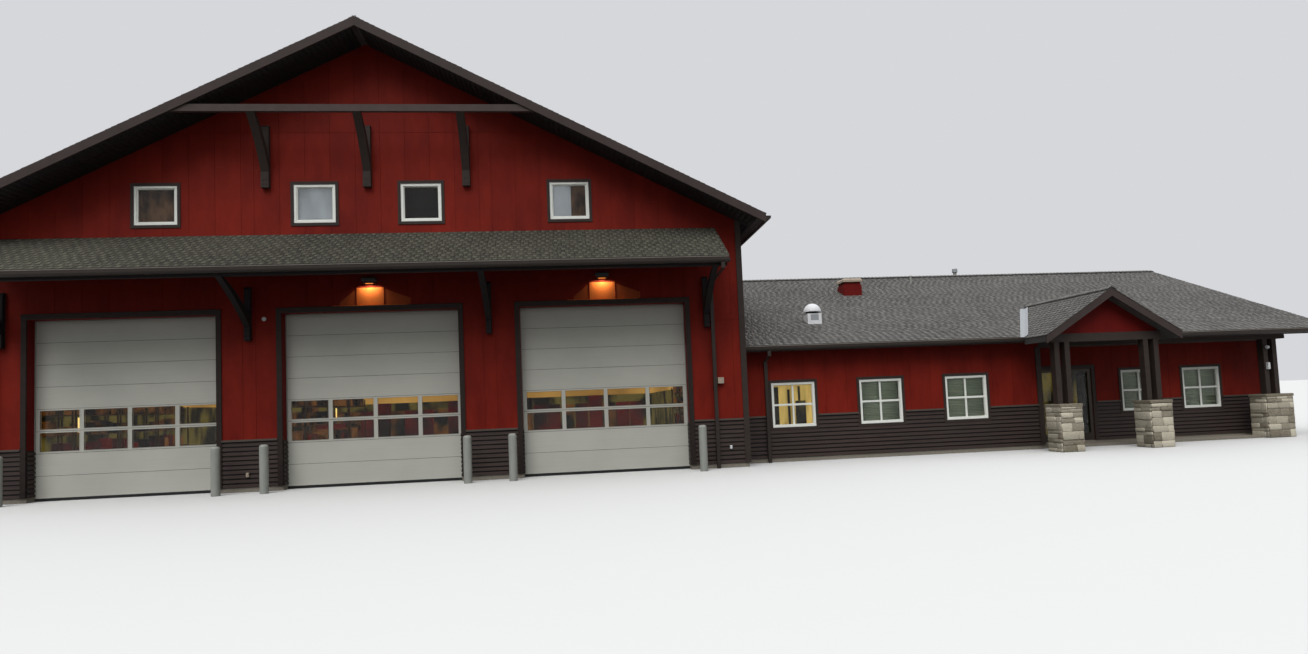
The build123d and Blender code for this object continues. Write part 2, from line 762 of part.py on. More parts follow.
# Wing roof
def wing_slope(edge):
    outline = [
        (wing_middle, wing_under(wing_middle)),
        (edge, wing_under(edge)),
        (edge, wing_top(edge)),
        (wing_middle, wing_top(wing_middle)),
    ]
    along_x(outline, wing_left, wing_right - BOARD)


with BuildPart() as wing_roof_front:
    wing_slope(wing_deck_front)
save(wing_roof_front, "wing_roof_front")

with BuildPart() as wing_roof_rear:
    wing_slope(wing_deck_back)
save(wing_roof_rear, "wing_roof_rear")


# Entry gable: two slopes that die into the wing's roof along valleys
def entry_slope(side):
    edge = ENTRY_CENTRE + side * ENTRY_HALF_WIDTH
    outline = [
        (ENTRY_CENTRE, entry_under(ENTRY_CENTRE)),
        (edge, entry_under(edge)),
        (edge, entry_top(edge)),
        (ENTRY_CENTRE, entry_top(ENTRY_CENTRE)),
    ]
    along_y(outline, ENTRY_FRONT + BOARD, wing_middle)
    behind = [
        (wing_gutter_front, wing_top(wing_gutter_front) - entry_ridge),
        (wing_gutter_front, wing_top(wing_gutter_front)),
        (wing_middle, wing_top(wing_middle)),
        (wing_middle, wing_top(wing_gutter_front) - entry_ridge),
    ]
    along_x(behind, entry_left, entry_right, mode=Mode.SUBTRACT)


with BuildPart() as entry_roof_left:
    entry_slope(-1)
save(entry_roof_left, "entry_roof_left")

with BuildPart() as entry_roof_right:
    entry_slope(1)
save(entry_roof_right, "entry_roof_right")


# Edges of all the roofs
def ridge_outline(middle, top, slope):
    drop = slope * RIDGE_CAP
    thick = RIDGE_CAP_THICK
    return [
        (middle - RIDGE_CAP, top - drop),
        (middle, top),
        (middle + RIDGE_CAP, top - drop),
        (middle + RIDGE_CAP, top - drop + thick),
        (middle, top + thick),
        (middle - RIDGE_CAP, top - drop + thick),
    ]


with BuildPart() as ridge_caps:
    along_y(ridge_outline(0, HALL_RIDGE, HALL_SLOPE), -HALL_OVERHANG, HALL_DEPTH + HALL_OVERHANG)
    along_x(ridge_outline(wing_middle, wing_top(wing_middle), WING_SLOPE), wing_left, wing_right)
save(ridge_caps, "ridge_caps")


def rake_outlines(left, middle, right, top):
    """The two boards under a gable's edge, cut plumb where they meet, as (across, up) points."""
    outlines = []
    for low, high in ((left, middle - JOINT / 2), (right, middle + JOINT / 2)):
        outlines.append([
            (low, top(low)),
            (high, top(high)),
            (high, top(high) - RAKE_HEIGHT),
            (low, top(low) - RAKE_HEIGHT),
        ])
    return outlines


with BuildPart() as rake_boards:
    for outline in rake_outlines(-deck_edge - BOARD, 0, deck_edge + BOARD, hall_top):
        along_y(outline, -HALL_OVERHANG, BOARD - HALL_OVERHANG)
        along_y(outline, HALL_DEPTH + HALL_OVERHANG - BOARD, HALL_DEPTH + HALL_OVERHANG)
    for outline in rake_outlines(wing_deck_front - BOARD, wing_middle, wing_deck_back + BOARD, wing_top):
        along_x(outline, wing_right - BOARD, wing_right)
    for outline in rake_outlines(entry_left, ENTRY_CENTRE, entry_right, entry_top):
        along_y(outline, ENTRY_FRONT, ENTRY_FRONT + BOARD)
    for side in (-1, 1):
        inner, outer = sorted((side * (pent_half_width - BOARD), side * pent_half_width))
        outline = [
            (0, pent_under(0) - BOARD),
            (0, pent_top(0)),
            (pent_gutter_back, pent_top(pent_gutter_back)),
            (pent_gutter_back, pent_under(pent_gutter_back) - BOARD),
        ]
        along_x(outline, inner, outer)
save(rake_boards, "rake_boards")


def fascia_outline(edge, outward, top, deck):
    """A board along an eave that laps below the deck, as (across, up) points."""
    outer = edge + outward * BOARD
    low = top(outer) - deck - FASCIA_LAP
    return [(edge, top(edge)), (outer, top(outer)), (outer, low), (edge, low)]


with BuildPart() as eave_fascias:
    for side in (-1, 1):
        outline = fascia_outline(side * deck_edge, side, hall_top, HALL_DECK)
        along_y(outline, BOARD - HALL_OVERHANG, HALL_DEPTH + HALL_OVERHANG - BOARD)
    along_x(fascia_outline(wing_deck_front, -1, wing_top, WING_DECK), wing_left, wing_right - BOARD)
    along_x(fascia_outline(wing_deck_back, 1, wing_top, WING_DECK), wing_left, wing_right - BOARD)
    along_x(fascia_outline(pent_deck_front, -1, pent_top, PENT_DECK), BOARD - pent_half_width,
            pent_half_width - BOARD)
save(eave_fascias, "eave_fascias")

with BuildPart() as gutters:
    for side in (-1, 1):
        side_gutter(side * (deck_edge + BOARD), hall_top(roof_edge), side,
                    -HALL_OVERHANG, HALL_DEPTH + HALL_OVERHANG)
    front_gutter(pent_gutter_back, pent_top(-PENT_REACH), -1, pent_half_width, -pent_half_width)
    rim = wing_top(wing_gutter_front)
    front_gutter(wing_deck_front - BOARD, rim, -1, entry_left, wing_left)
    front_gutter(wing_deck_front - BOARD, rim, -1, wing_right, entry_right)
    front_gutter(wing_deck_back + BOARD, rim, 1, wing_left, wing_right)
save(gutters, "gutters")

with BuildPart() as entry_gable_wall:
    outline = [
        (entry_beam_left, entry_under(entry_beam_left)),
        (entry_beam_right, entry_under(entry_beam_right)),
        (ENTRY_CENTRE, entry_under(ENTRY_CENTRE)),
    ]
    along_y(outline, entry_wall_front + BOARD, entry_wall_front + ENTRY_BEAM - BOARD)
save(entry_gable_wall, "entry_gable_wall")

# Stone plinths with a pair of posts on each: two at the entry, one at the porch's corner
corner_plinth = (WING_END - PLINTH_INSET, WING_FRONT + WING_WALL / 2, PLINTH, WING_PLATE)
entry_post_y = entry_wall_front + ENTRY_BEAM / 2
entry_plinths = [
    (x, entry_post_y, (ENTRY_PLINTH, ENTRY_PLINTH), entry_plate)
    for x in (entry_beam_left + ENTRY_PLINTH / 2, entry_beam_right - ENTRY_PLINTH / 2)
]
with BuildPart() as stone_plinths:
    for x, y, (width, depth), _ in [corner_plinth] + entry_plinths:
        block(x - width / 2, x + width / 2, y - depth / 2, y + depth / 2, 0, PLINTH_HEIGHT)
    block(PORCH_START, WING_END, WING_FRONT, porch_wall, 0, SLAB, mode=Mode.SUBTRACT)
save(stone_plinths, "stone_plinths")

with BuildPart() as porch_posts:
    for x, y, _, top in [corner_plinth] + entry_plinths:
        for side in (-1, 1):
            post = x + side * POST_SPACING / 2
            block(post - POST[0] / 2, post + POST[0] / 2, y - POST[1] / 2, y + POST[1] / 2, PLINTH_HEIGHT, top)
save(porch_posts, "porch_posts")

# Entry door: a glazed pair in one frame
door_left = ENTRY_CENTRE - ENTRY_DOOR[0] / 2
door_right = ENTRY_CENTRE + ENTRY_DOOR[0] / 2
entry_face = Plane(origin=(ENTRY_CENTRE, porch_wall, CURB + ENTRY_DOOR[1] / 2),
                   x_dir=(1, 0, 0), z_dir=(0, -1, 0))
entry_pane = ((ENTRY_DOOR[0] - 3 * ENTRY_STILE) / 2, ENTRY_DOOR[1] - 3 * ENTRY_STILE)
entry_panes = [(-(entry_pane[0] + ENTRY_STILE) / 2, ENTRY_STILE / 2),
               ((entry_pane[0] + ENTRY_STILE) / 2, ENTRY_STILE / 2)]
with BuildPart() as entry_door:
    with BuildSketch(entry_face.offset(-FRAME_DEPTH)):
        Rectangle(*ENTRY_DOOR)
        with Locations(*entry_panes):
            Rectangle(*entry_pane, mode=Mode.SUBTRACT)
    extrude(amount=FRAME_DEPTH)
save(entry_door, "entry_door")

with BuildPart() as entry_door_glass:
    with BuildSketch(entry_face.offset(-FRAME_DEPTH / 2)):
        with Locations(*entry_panes):
            Rectangle(*entry_pane)
    extrude(amount=PANE)
save(entry_door_glass, "entry_door_glass")


# Downspouts: a drop down the wall, with an offset from the gutter where the eave stands out
def downspout(x, wall, gutter, top, low=0):
    width, depth = SPOUT
    near = wall - SPOUT_GAP
    outline = [
        (near, low),
        (near, top - GUTTER_HEIGHT - 3 * width),
        (gutter + depth, top - GUTTER_HEIGHT - 1.6 * width),
        (gutter + depth, top - GUTTER_HEIGHT),
        (gutter, top - GUTTER_HEIGHT),
        (gutter, top - GUTTER_HEIGHT - 1.6 * width),
        (near - depth, top - GUTTER_HEIGHT - 3 * width),
        (near - depth, low),
    ]
    along_x(outline, x - width / 2, x + width / 2)


with BuildPart() as downspouts:
    for side in (-1, 1):
        downspout(side * (pent_half_width - PENT_SPOUT_INSET), 0, -PENT_REACH + SPOUT_INSET, pent_top(-PENT_REACH))
    downspout(wing_left + WING_SPOUT_INSET, WING_FRONT, wing_gutter_front + SPOUT_INSET, WING_EAVE_TOP)
save(downspouts, "downspouts")

# Roof fittings
def roof_stub(x, y, half, height, round_stub):
    """A stub that stands on one of the wing's slopes."""
    base = wing_top(y)
    low = base - WING_DECK / 2 - WING_SLOPE * half
    if round_stub:
        with Locations((x, y, (low + base + height) / 2)):
            Cylinder(half, base + height - low)
    else:
        block(x - half, x + half, y - half, y + half, low, base + height)
    along_x([(y - 2 * half, wing_top(y - 2 * half)), (y + 2 * half, wing_top(y + 2 * half)),
             (y + 2 * half, 0), (y - 2 * half, 0)], x - 2 * half, x + 2 * half, mode=Mode.SUBTRACT)


def on_wing(inset):
    """A place on the wing's roof, from its distances to the hall's wall and the wing's front."""
    return wing_left + inset[0], WING_FRONT + inset[1]


# Domed vent: a square base, a neck and a dome that stands out past both
with BuildPart() as dome_vent:
    x, y = on_wing(DOME_VENT_INSET)
    base_top = wing_top(y) + DOME_STAND
    roof_stub(x, y, DOME_BASE / 2, DOME_STAND, False)
    with Locations((x, y, base_top)):
        Cylinder(DOME_NECK / 2, 2 * DOME_GAP)
    centre_drop = (DOME_RADIUS**2 - DOME_RISE**2) / (2 * DOME_RISE)
    sweep = degrees(atan2(DOME_RADIUS, centre_drop))
    with BuildSketch(Plane(origin=(x, y, base_top + DOME_GAP), x_dir=(1, 0, 0), z_dir=(0, -1, 0))):
        with BuildLine():
            Polyline((0, DOME_RISE), (0, 0), (DOME_RADIUS, 0))
            CenterArc((0, -centre_drop), DOME_RISE + centre_drop, 90 - sweep, sweep)
        make_face()
    revolve(axis=Axis((x, y, 0), (0, 0, 1)))
save(dome_vent, "dome_vent")

with BuildPart() as box_vent:
    x, y = on_wing(BOX_VENT_INSET)
    roof_stub(x, y, BOX_VENT_SIZE / 2, BOX_VENT_STAND, False)
save(box_vent, "box_vent")

# The box vent's cap stands on a smaller hub, so that air leaves under it
with BuildPart() as box_vent_cap:
    hub = BOX_VENT_SIZE / 2 - 2 * BOX_VENT_LIP
    cap = BOX_VENT_SIZE / 2 + BOX_VENT_LIP
    base = wing_top(y) + BOX_VENT_STAND
    cap_bottom = base + BOX_VENT_GAP
    block(x - hub, x + hub, y - hub, y + hub, base, cap_bottom)
    block(x - cap, x + cap, y - cap, y + cap, cap_bottom, cap_bottom + BOX_VENT_CAP)
    chamfer(box_vent_cap.faces().sort_by(Axis.Z)[-1].edges(), BOX_VENT_LIP * 2)
save(box_vent_cap, "box_vent_cap")

with BuildPart() as vent_pipes:
    for across, back, radius, height in PIPE_INSETS:
        x, y = on_wing((across, back))
        roof_stub(x, y, radius, height, True)
save(vent_pipes, "vent_pipes")

# Lights under the pent roof
with BuildPart() as bay_lights:
    for centre in door_centres[1:]:
        block(centre - LIGHT[0] / 2, centre + LIGHT[0] / 2, -LIGHT[1], 0, LIGHT_Z, LIGHT_Z + LIGHT[2])
save(bay_lights, "bay_lights")

# Bollards beside the doors
with BuildPart() as bollards:
    for centre in door_centres:
        for side in (-1, 1):
            x = centre + side * (DOOR_WIDTH / 2 + BOLLARD_OFFSET)
            with Locations((x, -BOLLARD_FRONT, BOLLARD_HEIGHT / 2)):
                Cylinder(BOLLARD_RADIUS, BOLLARD_HEIGHT)
    fillet(bollards.edges().group_by(Axis.Z)[-1], BOLLARD_DOME)
save(bollards, "bollards")
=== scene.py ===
import random
from math import cos, pi, radians, sin, sqrt

import bmesh
import bpy
import numpy as np
from mathutils import Matrix, Vector


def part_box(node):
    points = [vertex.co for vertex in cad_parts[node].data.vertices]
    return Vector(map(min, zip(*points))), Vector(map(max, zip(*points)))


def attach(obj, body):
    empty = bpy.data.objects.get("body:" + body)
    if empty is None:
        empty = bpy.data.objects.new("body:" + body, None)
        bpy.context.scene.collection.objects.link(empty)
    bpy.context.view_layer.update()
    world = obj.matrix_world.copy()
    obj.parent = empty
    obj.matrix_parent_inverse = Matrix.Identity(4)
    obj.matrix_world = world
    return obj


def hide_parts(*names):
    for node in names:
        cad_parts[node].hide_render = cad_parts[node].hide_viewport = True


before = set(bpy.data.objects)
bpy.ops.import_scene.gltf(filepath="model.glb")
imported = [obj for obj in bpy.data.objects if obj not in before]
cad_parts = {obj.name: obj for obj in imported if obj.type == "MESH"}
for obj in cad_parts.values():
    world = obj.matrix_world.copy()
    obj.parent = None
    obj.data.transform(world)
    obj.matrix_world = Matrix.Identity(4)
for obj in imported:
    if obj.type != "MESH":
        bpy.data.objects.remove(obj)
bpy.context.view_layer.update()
random.seed(12)

# The building's faces and heights, in metres
HALL_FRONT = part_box("hall_front_gable")[0].y
HALL_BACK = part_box("hall_rear_wall")[1].y
HALL_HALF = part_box("hall_front_gable")[1].x
HALL_WALL = 0.29
HALL_RIDGE = 11.37
HALL_SLOPE = 0.5
HALL_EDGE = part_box("hall_roof_right")[1].x + 0.04
HALL_OVERHANG = 1.04
HALL_DECK = 0.2
BAY = 5.79125
DOOR_CENTRES = (-BAY, 0.0, BAY)
LIT_BAYS = DOOR_CENTRES[1:]
HALF_DOOR = 4.267 / 2
DOOR_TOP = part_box("hall_front_piers")[1].z
SECTION = 0.5334
SEAL = 0.07
CURB = 0.12
FLOOR_TOP = 0.06
WAINSCOT_TOP = 1.27
CAP_BOTTOM = 1.225
DOOR_TRIM = 0.12
WING_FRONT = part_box("wing_front_wall")[0].y
WING_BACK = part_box("wing_rear_wall")[1].y
WING_MIDDLE = (WING_FRONT + WING_BACK) / 2
WING_HALF = (WING_BACK - WING_FRONT) / 2
WING_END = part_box("wing_end_gable")[1].x
WING_RIGHT = WING_END + 1.2
WING_SLOPE = 5 / 12
WING_EAVE_TOP = 3.12
WING_EAVE = 0.6
WING_DECK = 0.15
PORCH_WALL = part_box("porch_back_wall")[0].y
PORCH_START = 18.2
PORCH_HIGH = 2.9
PENT_HALF = 8.78975
PENT_TOP = 6.3
PENT_SLOPE = 0.6285
PENT_REACH = 1.83
ENTRY_CENTRE = 19.39
ENTRY_HALF = 1.95
ENTRY_SLOPE = 0.625
ENTRY_FRONT = HALL_FRONT - 0.71
ENTRY_TOP = 2.36
GABLE_WINDOW = (1.0, 0.97)
GABLE_WINDOW_Z = 7.065
OFFICE_WINDOW = (1.219, 1.219)
OFFICE_WINDOW_Z = 1.55
WINDOW_TRIM = 0.075
CORNER_BOARD = 0.11


def hall_top(x):
    return HALL_RIDGE - HALL_SLOPE * abs(x)


def wing_top(y):
    return WING_EAVE_TOP + WING_SLOPE * (WING_HALF + WING_EAVE - abs(y - WING_MIDDLE))


def pent_top(out):
    """The pent roof's height at a distance out from the wall."""
    return PENT_TOP - PENT_SLOPE * out


def entry_top(x):
    return WING_EAVE_TOP + ENTRY_SLOPE * (ENTRY_HALF - abs(x - ENTRY_CENTRE))


# ---- Finishes ----
GLOSS_SWING = 0.15
PATCH_SCALE = 0.45
finishes = {}


def srgb(red, green, blue):
    """A colour in 0 to 255 steps, as the linear colour that shaders take."""
    return tuple(((c / 255 + 0.055) / 1.055) ** 2.4 for c in (red, green, blue)) + (1.0,)


def plug(graph, made, inputs):
    """Gives a node's inputs their plain values, or the outputs of other nodes."""
    for key, value in inputs.items():
        if isinstance(value, bpy.types.NodeSocket):
            graph.links.new(value, made.inputs[key])
        else:
            made.inputs[key].default_value = value


def node(graph, kind, inputs, **settings):
    made = graph.nodes.new(kind)
    for key, value in settings.items():
        setattr(made, key, value)
    plug(graph, made, inputs)
    return made


def reckon(graph, operation, *values):
    """One step of arithmetic on the numbers of a node graph."""
    return node(graph, "ShaderNodeMath", dict(enumerate(values)), operation=operation).outputs[0]


def noise(graph, place, scale, detail, roughness=0.5):
    inputs = {"Vector": place, "Scale": scale, "Detail": detail, "Roughness": roughness}
    return node(graph, "ShaderNodeTexNoise", inputs).outputs["Fac"]


def object_place(graph):
    return node(graph, "ShaderNodeTexCoord", {}).outputs["Object"]


def stretch(graph, place, grain):
    """Coordinates drawn out to a grain, given for all three directions or for each."""
    scale = grain if isinstance(grain, tuple) else (grain, grain, grain)
    return node(graph, "ShaderNodeMapping", {"Vector": place, "Scale": scale}).outputs["Vector"]


def total(graph, parts, lean=0.0):
    """The sum of weighted values that each swing about a half, leaning to one side."""
    value = 0.5 + lean
    for socket, weight in parts:
        value = reckon(graph, "MULTIPLY_ADD", reckon(graph, "SUBTRACT", socket, 0.5), weight, value)
    return value


def between(graph, level, dark, light):
    """The colour that lies between two others."""
    mix = node(graph, "ShaderNodeMix", {"Factor": level}, data_type="RGBA")
    for socket, colour in zip([s for s in mix.inputs if s.type == "RGBA"], (dark, light)):
        socket.default_value = srgb(*colour)
    return next(s for s in mix.outputs if s.type == "RGBA")


def new_finish(name, inputs):
    """A finish with plain values on its shader: gives its node graph and that shader."""
    made = finishes[name] = bpy.data.materials.new(name)
    made.use_nodes = True
    shader = made.node_tree.nodes["Principled BSDF"]
    plug(made.node_tree, shader, inputs)
    return made.node_tree, shader


def weathered(name, dark, light, grain, roughness, relief, shade=0.0, patches=0.5, fine=0.8, metallic=0.0, sheen=0.3):
    """A finish between two colours, with weights for its grain, slow patches and each part's own shade."""
    graph, shader = new_finish(name, {"Metallic": metallic, "Specular IOR Level": sheen})
    place = object_place(graph)
    grains = noise(graph, stretch(graph, place, grain), 1.0, 5.0, 0.62)
    slow = noise(graph, place, PATCH_SCALE, 3.0, 0.6)
    parts = [(grains, fine), (slow, patches)]
    if shade:
        parts.append((node(graph, "ShaderNodeAttribute", {}, attribute_name="shade").outputs["Fac"], shade))
    bump = node(graph, "ShaderNodeBump", {"Height": grains, "Strength": 1.0, "Distance": relief})
    plug(graph, shader, {
        "Base Color": between(graph, total(graph, parts), dark, light),
        "Roughness": reckon(graph, "MULTIPLY_ADD", slow, GLOSS_SWING, roughness - GLOSS_SWING / 2),
        "Normal": bump.outputs["Normal"],
    })


def clear_glass(name, tint):
    graph, shader = new_finish(name, {"Base Color": tint, "Transmission Weight": 1.0, "IOR": 1.25})
    film = noise(graph, object_place(graph), 3.0, 4.0)
    plug(graph, shader, {"Roughness": reckon(graph, "MULTIPLY_ADD", film, 0.02, 0.0)})


def lit_through(name, dark, light, strength, grain, spread=2.2, lean=0.0, bare=False):
    """A surface that glows in patches: painted light for what is seen behind glass. A bare one takes no light from
    elsewhere.
    """
    graph, shader = new_finish(name, {"Emission Strength": strength, "Roughness": 0.8, "Specular IOR Level": 0.1})
    cloud = noise(graph, stretch(graph, object_place(graph), grain), 1.0, 3.0)
    tint = between(graph, total(graph, [(cloud, spread)], lean), dark, light)
    plug(graph, shader, {"Base Color": srgb(6, 6, 6) if bare else tint, "Emission Color": tint})


# Name, darkest and lightest colour, grain, roughness and relief
weathered("red_siding", (88, 18, 12), (136, 37, 24), (3.0, 3.0, 0.9), 0.62, 0.004,
          shade=0.14, patches=1.1, fine=1.0, sheen=0.1)
weathered("red_jambs", (76, 13, 11), (114, 25, 20), (3.0, 3.0, 0.9), 0.65, 0.004, sheen=0.1)
weathered("pent_shingles", (32, 31, 26), (94, 92, 79), 60.0, 0.75, 0.004, shade=0.65)
weathered("roof_shingles", (42, 41, 40), (118, 115, 110), 60.0, 0.6, 0.004, shade=0.85, sheen=0.5)
weathered("dark_timber", (36, 29, 26), (62, 52, 47), (4.0, 4.0, 9.0), 0.65, 0.004, sheen=0.2)
weathered("brown_boards", (50, 41, 39), (84, 71, 67), 3.0, 0.65, 0.004, sheen=0.2)
weathered("eave_boards", (42, 34, 32), (72, 60, 56), 3.0, 0.65, 0.004, sheen=0.2)
# Darker than the dark timber: the trims' own colour with painted shade from under the pent
weathered("door_trim_painted_shade", (28, 22, 20), (52, 43, 39), (4.0, 4.0, 9.0), 0.65, 0.004, sheen=0.15)
# Near black: the timber's own dark stain with painted shade for the undersides and the parts under the pent
weathered("soffit_timber_painted_shade", (17, 13, 13), (32, 25, 25), 9.0, 0.7, 0.003, shade=0.6, sheen=0.15)
# The darkest colour of the laps shows in the notches, as painted shade
weathered("dark_laps", (17, 13, 12), (76, 62, 57), (2.0, 2.0, 40.0), 0.55, 0.003, shade=0.5, sheen=0.2)
weathered("cap_trim", (62, 54, 48), (92, 82, 74), (5.0, 5.0, 30.0), 0.5, 0.002, sheen=0.2)
weathered("door_steel", (170, 170, 161), (206, 204, 193), (1.2, 1.2, 60.0), 0.42, 0.0012, patches=0.9, fine=0.35)
weathered("vinyl", (224, 225, 216), (246, 247, 240), 12.0, 0.4, 0.0006)
weathered("gutter_metal", (34, 29, 26), (56, 48, 43), 6.0, 0.45, 0.0008, sheen=0.2)
weathered("drip_metal", (104, 98, 90), (140, 133, 123), 8.0, 0.45, 0.0006)
weathered("rubber", (20, 20, 21), (44, 44, 44), 20.0, 0.75, 0.002)
weathered("stone", (122, 114, 98), (206, 198, 178), (16.0, 16.0, 22.0), 0.85, 0.012, shade=1.0)
weathered("mortar", (64, 62, 56), (98, 94, 86), 40.0, 0.9, 0.006)
weathered("concrete", (110, 103, 92), (150, 143, 130), 14.0, 0.85, 0.004, patches=0.8)
weathered("bronze", (36, 31, 28), (62, 54, 48), 20.0, 0.35, 0.001, metallic=0.5)
weathered("galvanised", (128, 130, 124), (164, 166, 158), (9.0, 9.0, 4.0), 0.45, 0.0008)
weathered("white_metal", (198, 199, 200), (228, 229, 230), 8.0, 0.4, 0.0006)
weathered("dark_louvre", (22, 22, 23), (44, 44, 44), 20.0, 0.6, 0.001)
weathered("vent_panel", (130, 133, 136), (162, 165, 167), 20.0, 0.5, 0.0006)
weathered("tan_metal", (140, 126, 110), (182, 167, 148), 8.0, 0.45, 0.0008)
weathered("blinds", (112, 121, 98), (146, 154, 130), (3.0, 3.0, 30.0), 0.5, 0.0006, shade=0.4)
# Orange boards over the lit doors: the lamp's pool of light painted onto the red siding, brighter in the middle and
# dimmer at the sides
weathered("painted_glow_board", (176, 84, 40), (212, 112, 58), 3.0, 0.65, 0.002, sheen=0.1)
weathered("painted_side_glow_board", (136, 58, 30), (172, 82, 46), 3.0, 0.65, 0.002, sheen=0.1)
# Name, darkest and lightest colour, strength, grain, and how far the patches part
# Rooms, blinds, linings, racks, gear and lockers behind glass glow with painted light; the lens and tube finishes are
# lamps
lit_through("pale_shade", (118, 120, 124), (154, 156, 162), 0.3, (2.0, 2.0, 0.8))
lit_through("brown_store", (30, 22, 17), (92, 66, 47), 0.16, (5.0, 5.0, 2.5), 3.0)
lit_through("warm_room", (140, 114, 52), (220, 186, 106), 0.5, (3.5, 3.5, 0.7), 3.0)
lit_through("dim_room", (10, 8, 7), (34, 28, 25), 0.6, 1.8, bare=True)
lit_through("bay_walls", (140, 98, 38), (222, 168, 84), 0.6, (0.25, 0.25, 0.4), 3.5, bare=True)
lit_through("bay_dado", (22, 18, 8), (104, 90, 40), 0.62, (1.1, 1.1, 0.7), 7.0, bare=True)
lit_through("rack_steel", (30, 25, 20), (84, 62, 40), 0.12, 3.0)
lit_through("stored_gear", (18, 11, 8), (144, 90, 38), 0.38, (1.3, 1.3, 1.1), 5.0, -0.15, bare=True)
lit_through("maroon_lockers", (24, 6, 6), (98, 17, 12), 0.5, 0.8, 4.0, bare=True)
lit_through("lamp_lens", (255, 150, 60), (255, 180, 90), 0.8, 2.0)
lit_through("tube_lamp", (255, 206, 110), (255, 226, 150), 1.2, 2.0)
clear_glass("glass", (0.9, 0.93, 0.91, 1.0))


# ---- Making pieces ----
def new_object(name, data):
    made = bpy.data.objects.new(name, data)
    bpy.context.scene.collection.objects.link(made)
    return made


def as_mesh(name, shape):
    mesh = bpy.data.meshes.new(name)
    shape.to_mesh(mesh)
    shape.free()
    return mesh


def keep(name, shape, finish, slot, *replaced):
    """Turns a finished shape into a named piece of the building."""
    mesh = as_mesh(name, shape) if isinstance(shape, bmesh.types.BMesh) else shape
    mesh.name = name
    piece = new_object(name, mesh)
    mesh.materials.append(finishes[finish])
    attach(piece, "root")
    if replaced:
        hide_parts(*replaced)


def blanks(count):
    return [bmesh.new() for _ in range(count)]


def block(shape, low, high):
    """Adds a box between two corners to a shape and returns its points."""
    low, high = Vector(low), Vector(high)
    placing = Matrix.Translation((low + high) / 2) @ Matrix.Diagonal((*(high - low), 1.0))
    return bmesh.ops.create_cube(shape, size=1.0, matrix=placing)["verts"]


def drum(shape, segments, foot, head, depth, centre=(0, 0, 0)):
    """Adds an upright cylinder or cone, by the radius of its foot and head."""
    bmesh.ops.create_cone(shape, cap_ends=True, segments=segments, radius1=foot, radius2=head, depth=depth,
                          matrix=Matrix.Translation(centre))


def ease(shape, width, segments=1):
    """Takes the sharpness off every edge."""
    bmesh.ops.bevel(shape, geom=shape.edges[:], offset=width, offset_type="OFFSET", segments=segments,
                    profile=0.5, affect="EDGES", material=-1)


def push(shape, faces, way):
    """Draws faces out into a solid and returns its new points."""
    grown = bmesh.ops.extrude_face_region(shape, geom=faces)["geom"]
    points = [part for part in grown if isinstance(part, bmesh.types.BMVert)]
    bmesh.ops.translate(shape, verts=points, vec=way)
    return points


def face_out(shape):
    bmesh.ops.recalc_face_normals(shape, faces=shape.faces[:])


def placing_by(columns, origin):
    """The placing that lays a shape's own directions along three columns."""
    return [*map(list, zip(*columns, origin)), [0, 0, 0, 1]]


def copies(shape, placings, shades=None):
    """One mesh holding a copy of a shape at each placing, each with its own shade."""
    single = as_mesh("single", shape)
    placings = np.array(placings, float)
    count = len(placings)
    points = np.empty(len(single.vertices) * 3)
    single.vertices.foreach_get("co", points)
    points = points.reshape(-1, 3)
    corners = np.empty(len(single.loops), np.int32)
    single.loops.foreach_get("vertex_index", corners)
    starts = np.empty(len(single.polygons), np.int32)
    single.polygons.foreach_get("loop_start", starts)
    placed = np.einsum("nij,pj->npi", placings[:, :3, :3], points) + placings[:, None, :3, 3]
    steps = np.arange(count, dtype=np.int32)[:, None]
    mesh = bpy.data.meshes.new("copies")
    mesh.vertices.add(count * len(points))
    mesh.loops.add(count * len(corners))
    mesh.polygons.add(count * len(starts))
    mesh.vertices.foreach_set("co", placed.ravel())
    mesh.loops.foreach_set("vertex_index", (corners + steps * len(points)).ravel())
    mesh.polygons.foreach_set("loop_start", (starts + steps * len(corners)).ravel())
    if shades is not None:
        tone = mesh.attributes.new("shade", "FLOAT", "FACE")
        tone.data.foreach_set("value", np.repeat(np.array(shades, np.float32), len(starts)))
    mesh.update(calc_edges=True)
    mesh.validate()
    bpy.data.meshes.remove(single)
    return mesh


def wall(turn, x, y):
    """The placing of a wall: local X runs along it, local -Y looks out of the building."""
    return Matrix.Translation((x, y, 0)) @ Matrix.Rotation(turn, 4, "Z")


walls = {
    "front": wall(0, 0, HALL_FRONT),
    "back": wall(pi, 0, HALL_BACK),
    "left": wall(-pi / 2, -HALL_HALF, 0),
    "right": wall(pi / 2, HALL_HALF, 0),
    "wing_front": wall(0, 0, WING_FRONT),
    "porch": wall(0, 0, PORCH_WALL),
    "porch_return": wall(pi / 2, PORCH_START, 0),
    "wing_rear": wall(pi, 0, WING_BACK),
    "wing_end": wall(pi / 2, WING_END, 0),
}
windows = {"front": [(s * u, GABLE_WINDOW_Z) for u in (1.295, 5.03) for s in (-1, 1)]}
windows["back"] = windows["front"]
for place, along in (("left", [s * (HALL_BACK - HALL_FRONT) / 4 for s in (-1, 0, 1)]),
                     ("wing_front", [10.96 + 2.5 * k for k in range(3)]),
                     ("porch", (21.9, 23.9)),
                     ("wing_rear", [-10.96 - 2.5 * k for k in range(6)]),
                     ("wing_end", [WING_MIDDLE + u for u in (-2.2, 0, 2.2)])):
    windows[place] = [(u, OFFICE_WINDOW_Z) for u in along]


def window_size(place):
    return GABLE_WINDOW if place in ("front", "back") else OFFICE_WINDOW


def in_wall(shape, place, low, high):
    """A box given along, into and up a wall."""
    bmesh.ops.transform(shape, matrix=walls[place], verts=block(shape, low, high))


def slab(shape, place, middle, half, depths, heights):
    """A box in a wall that reaches as far to both sides of a middle line."""
    in_wall(shape, place, (middle - half, depths[0], heights[0]), (middle + half, depths[1], heights[1]))


# ---- Siding ----
PANEL_WIDTH = 0.6096
PANEL_GAP = 0.006
PANEL_THICK = 0.009
HALL_JOINT = 3.84


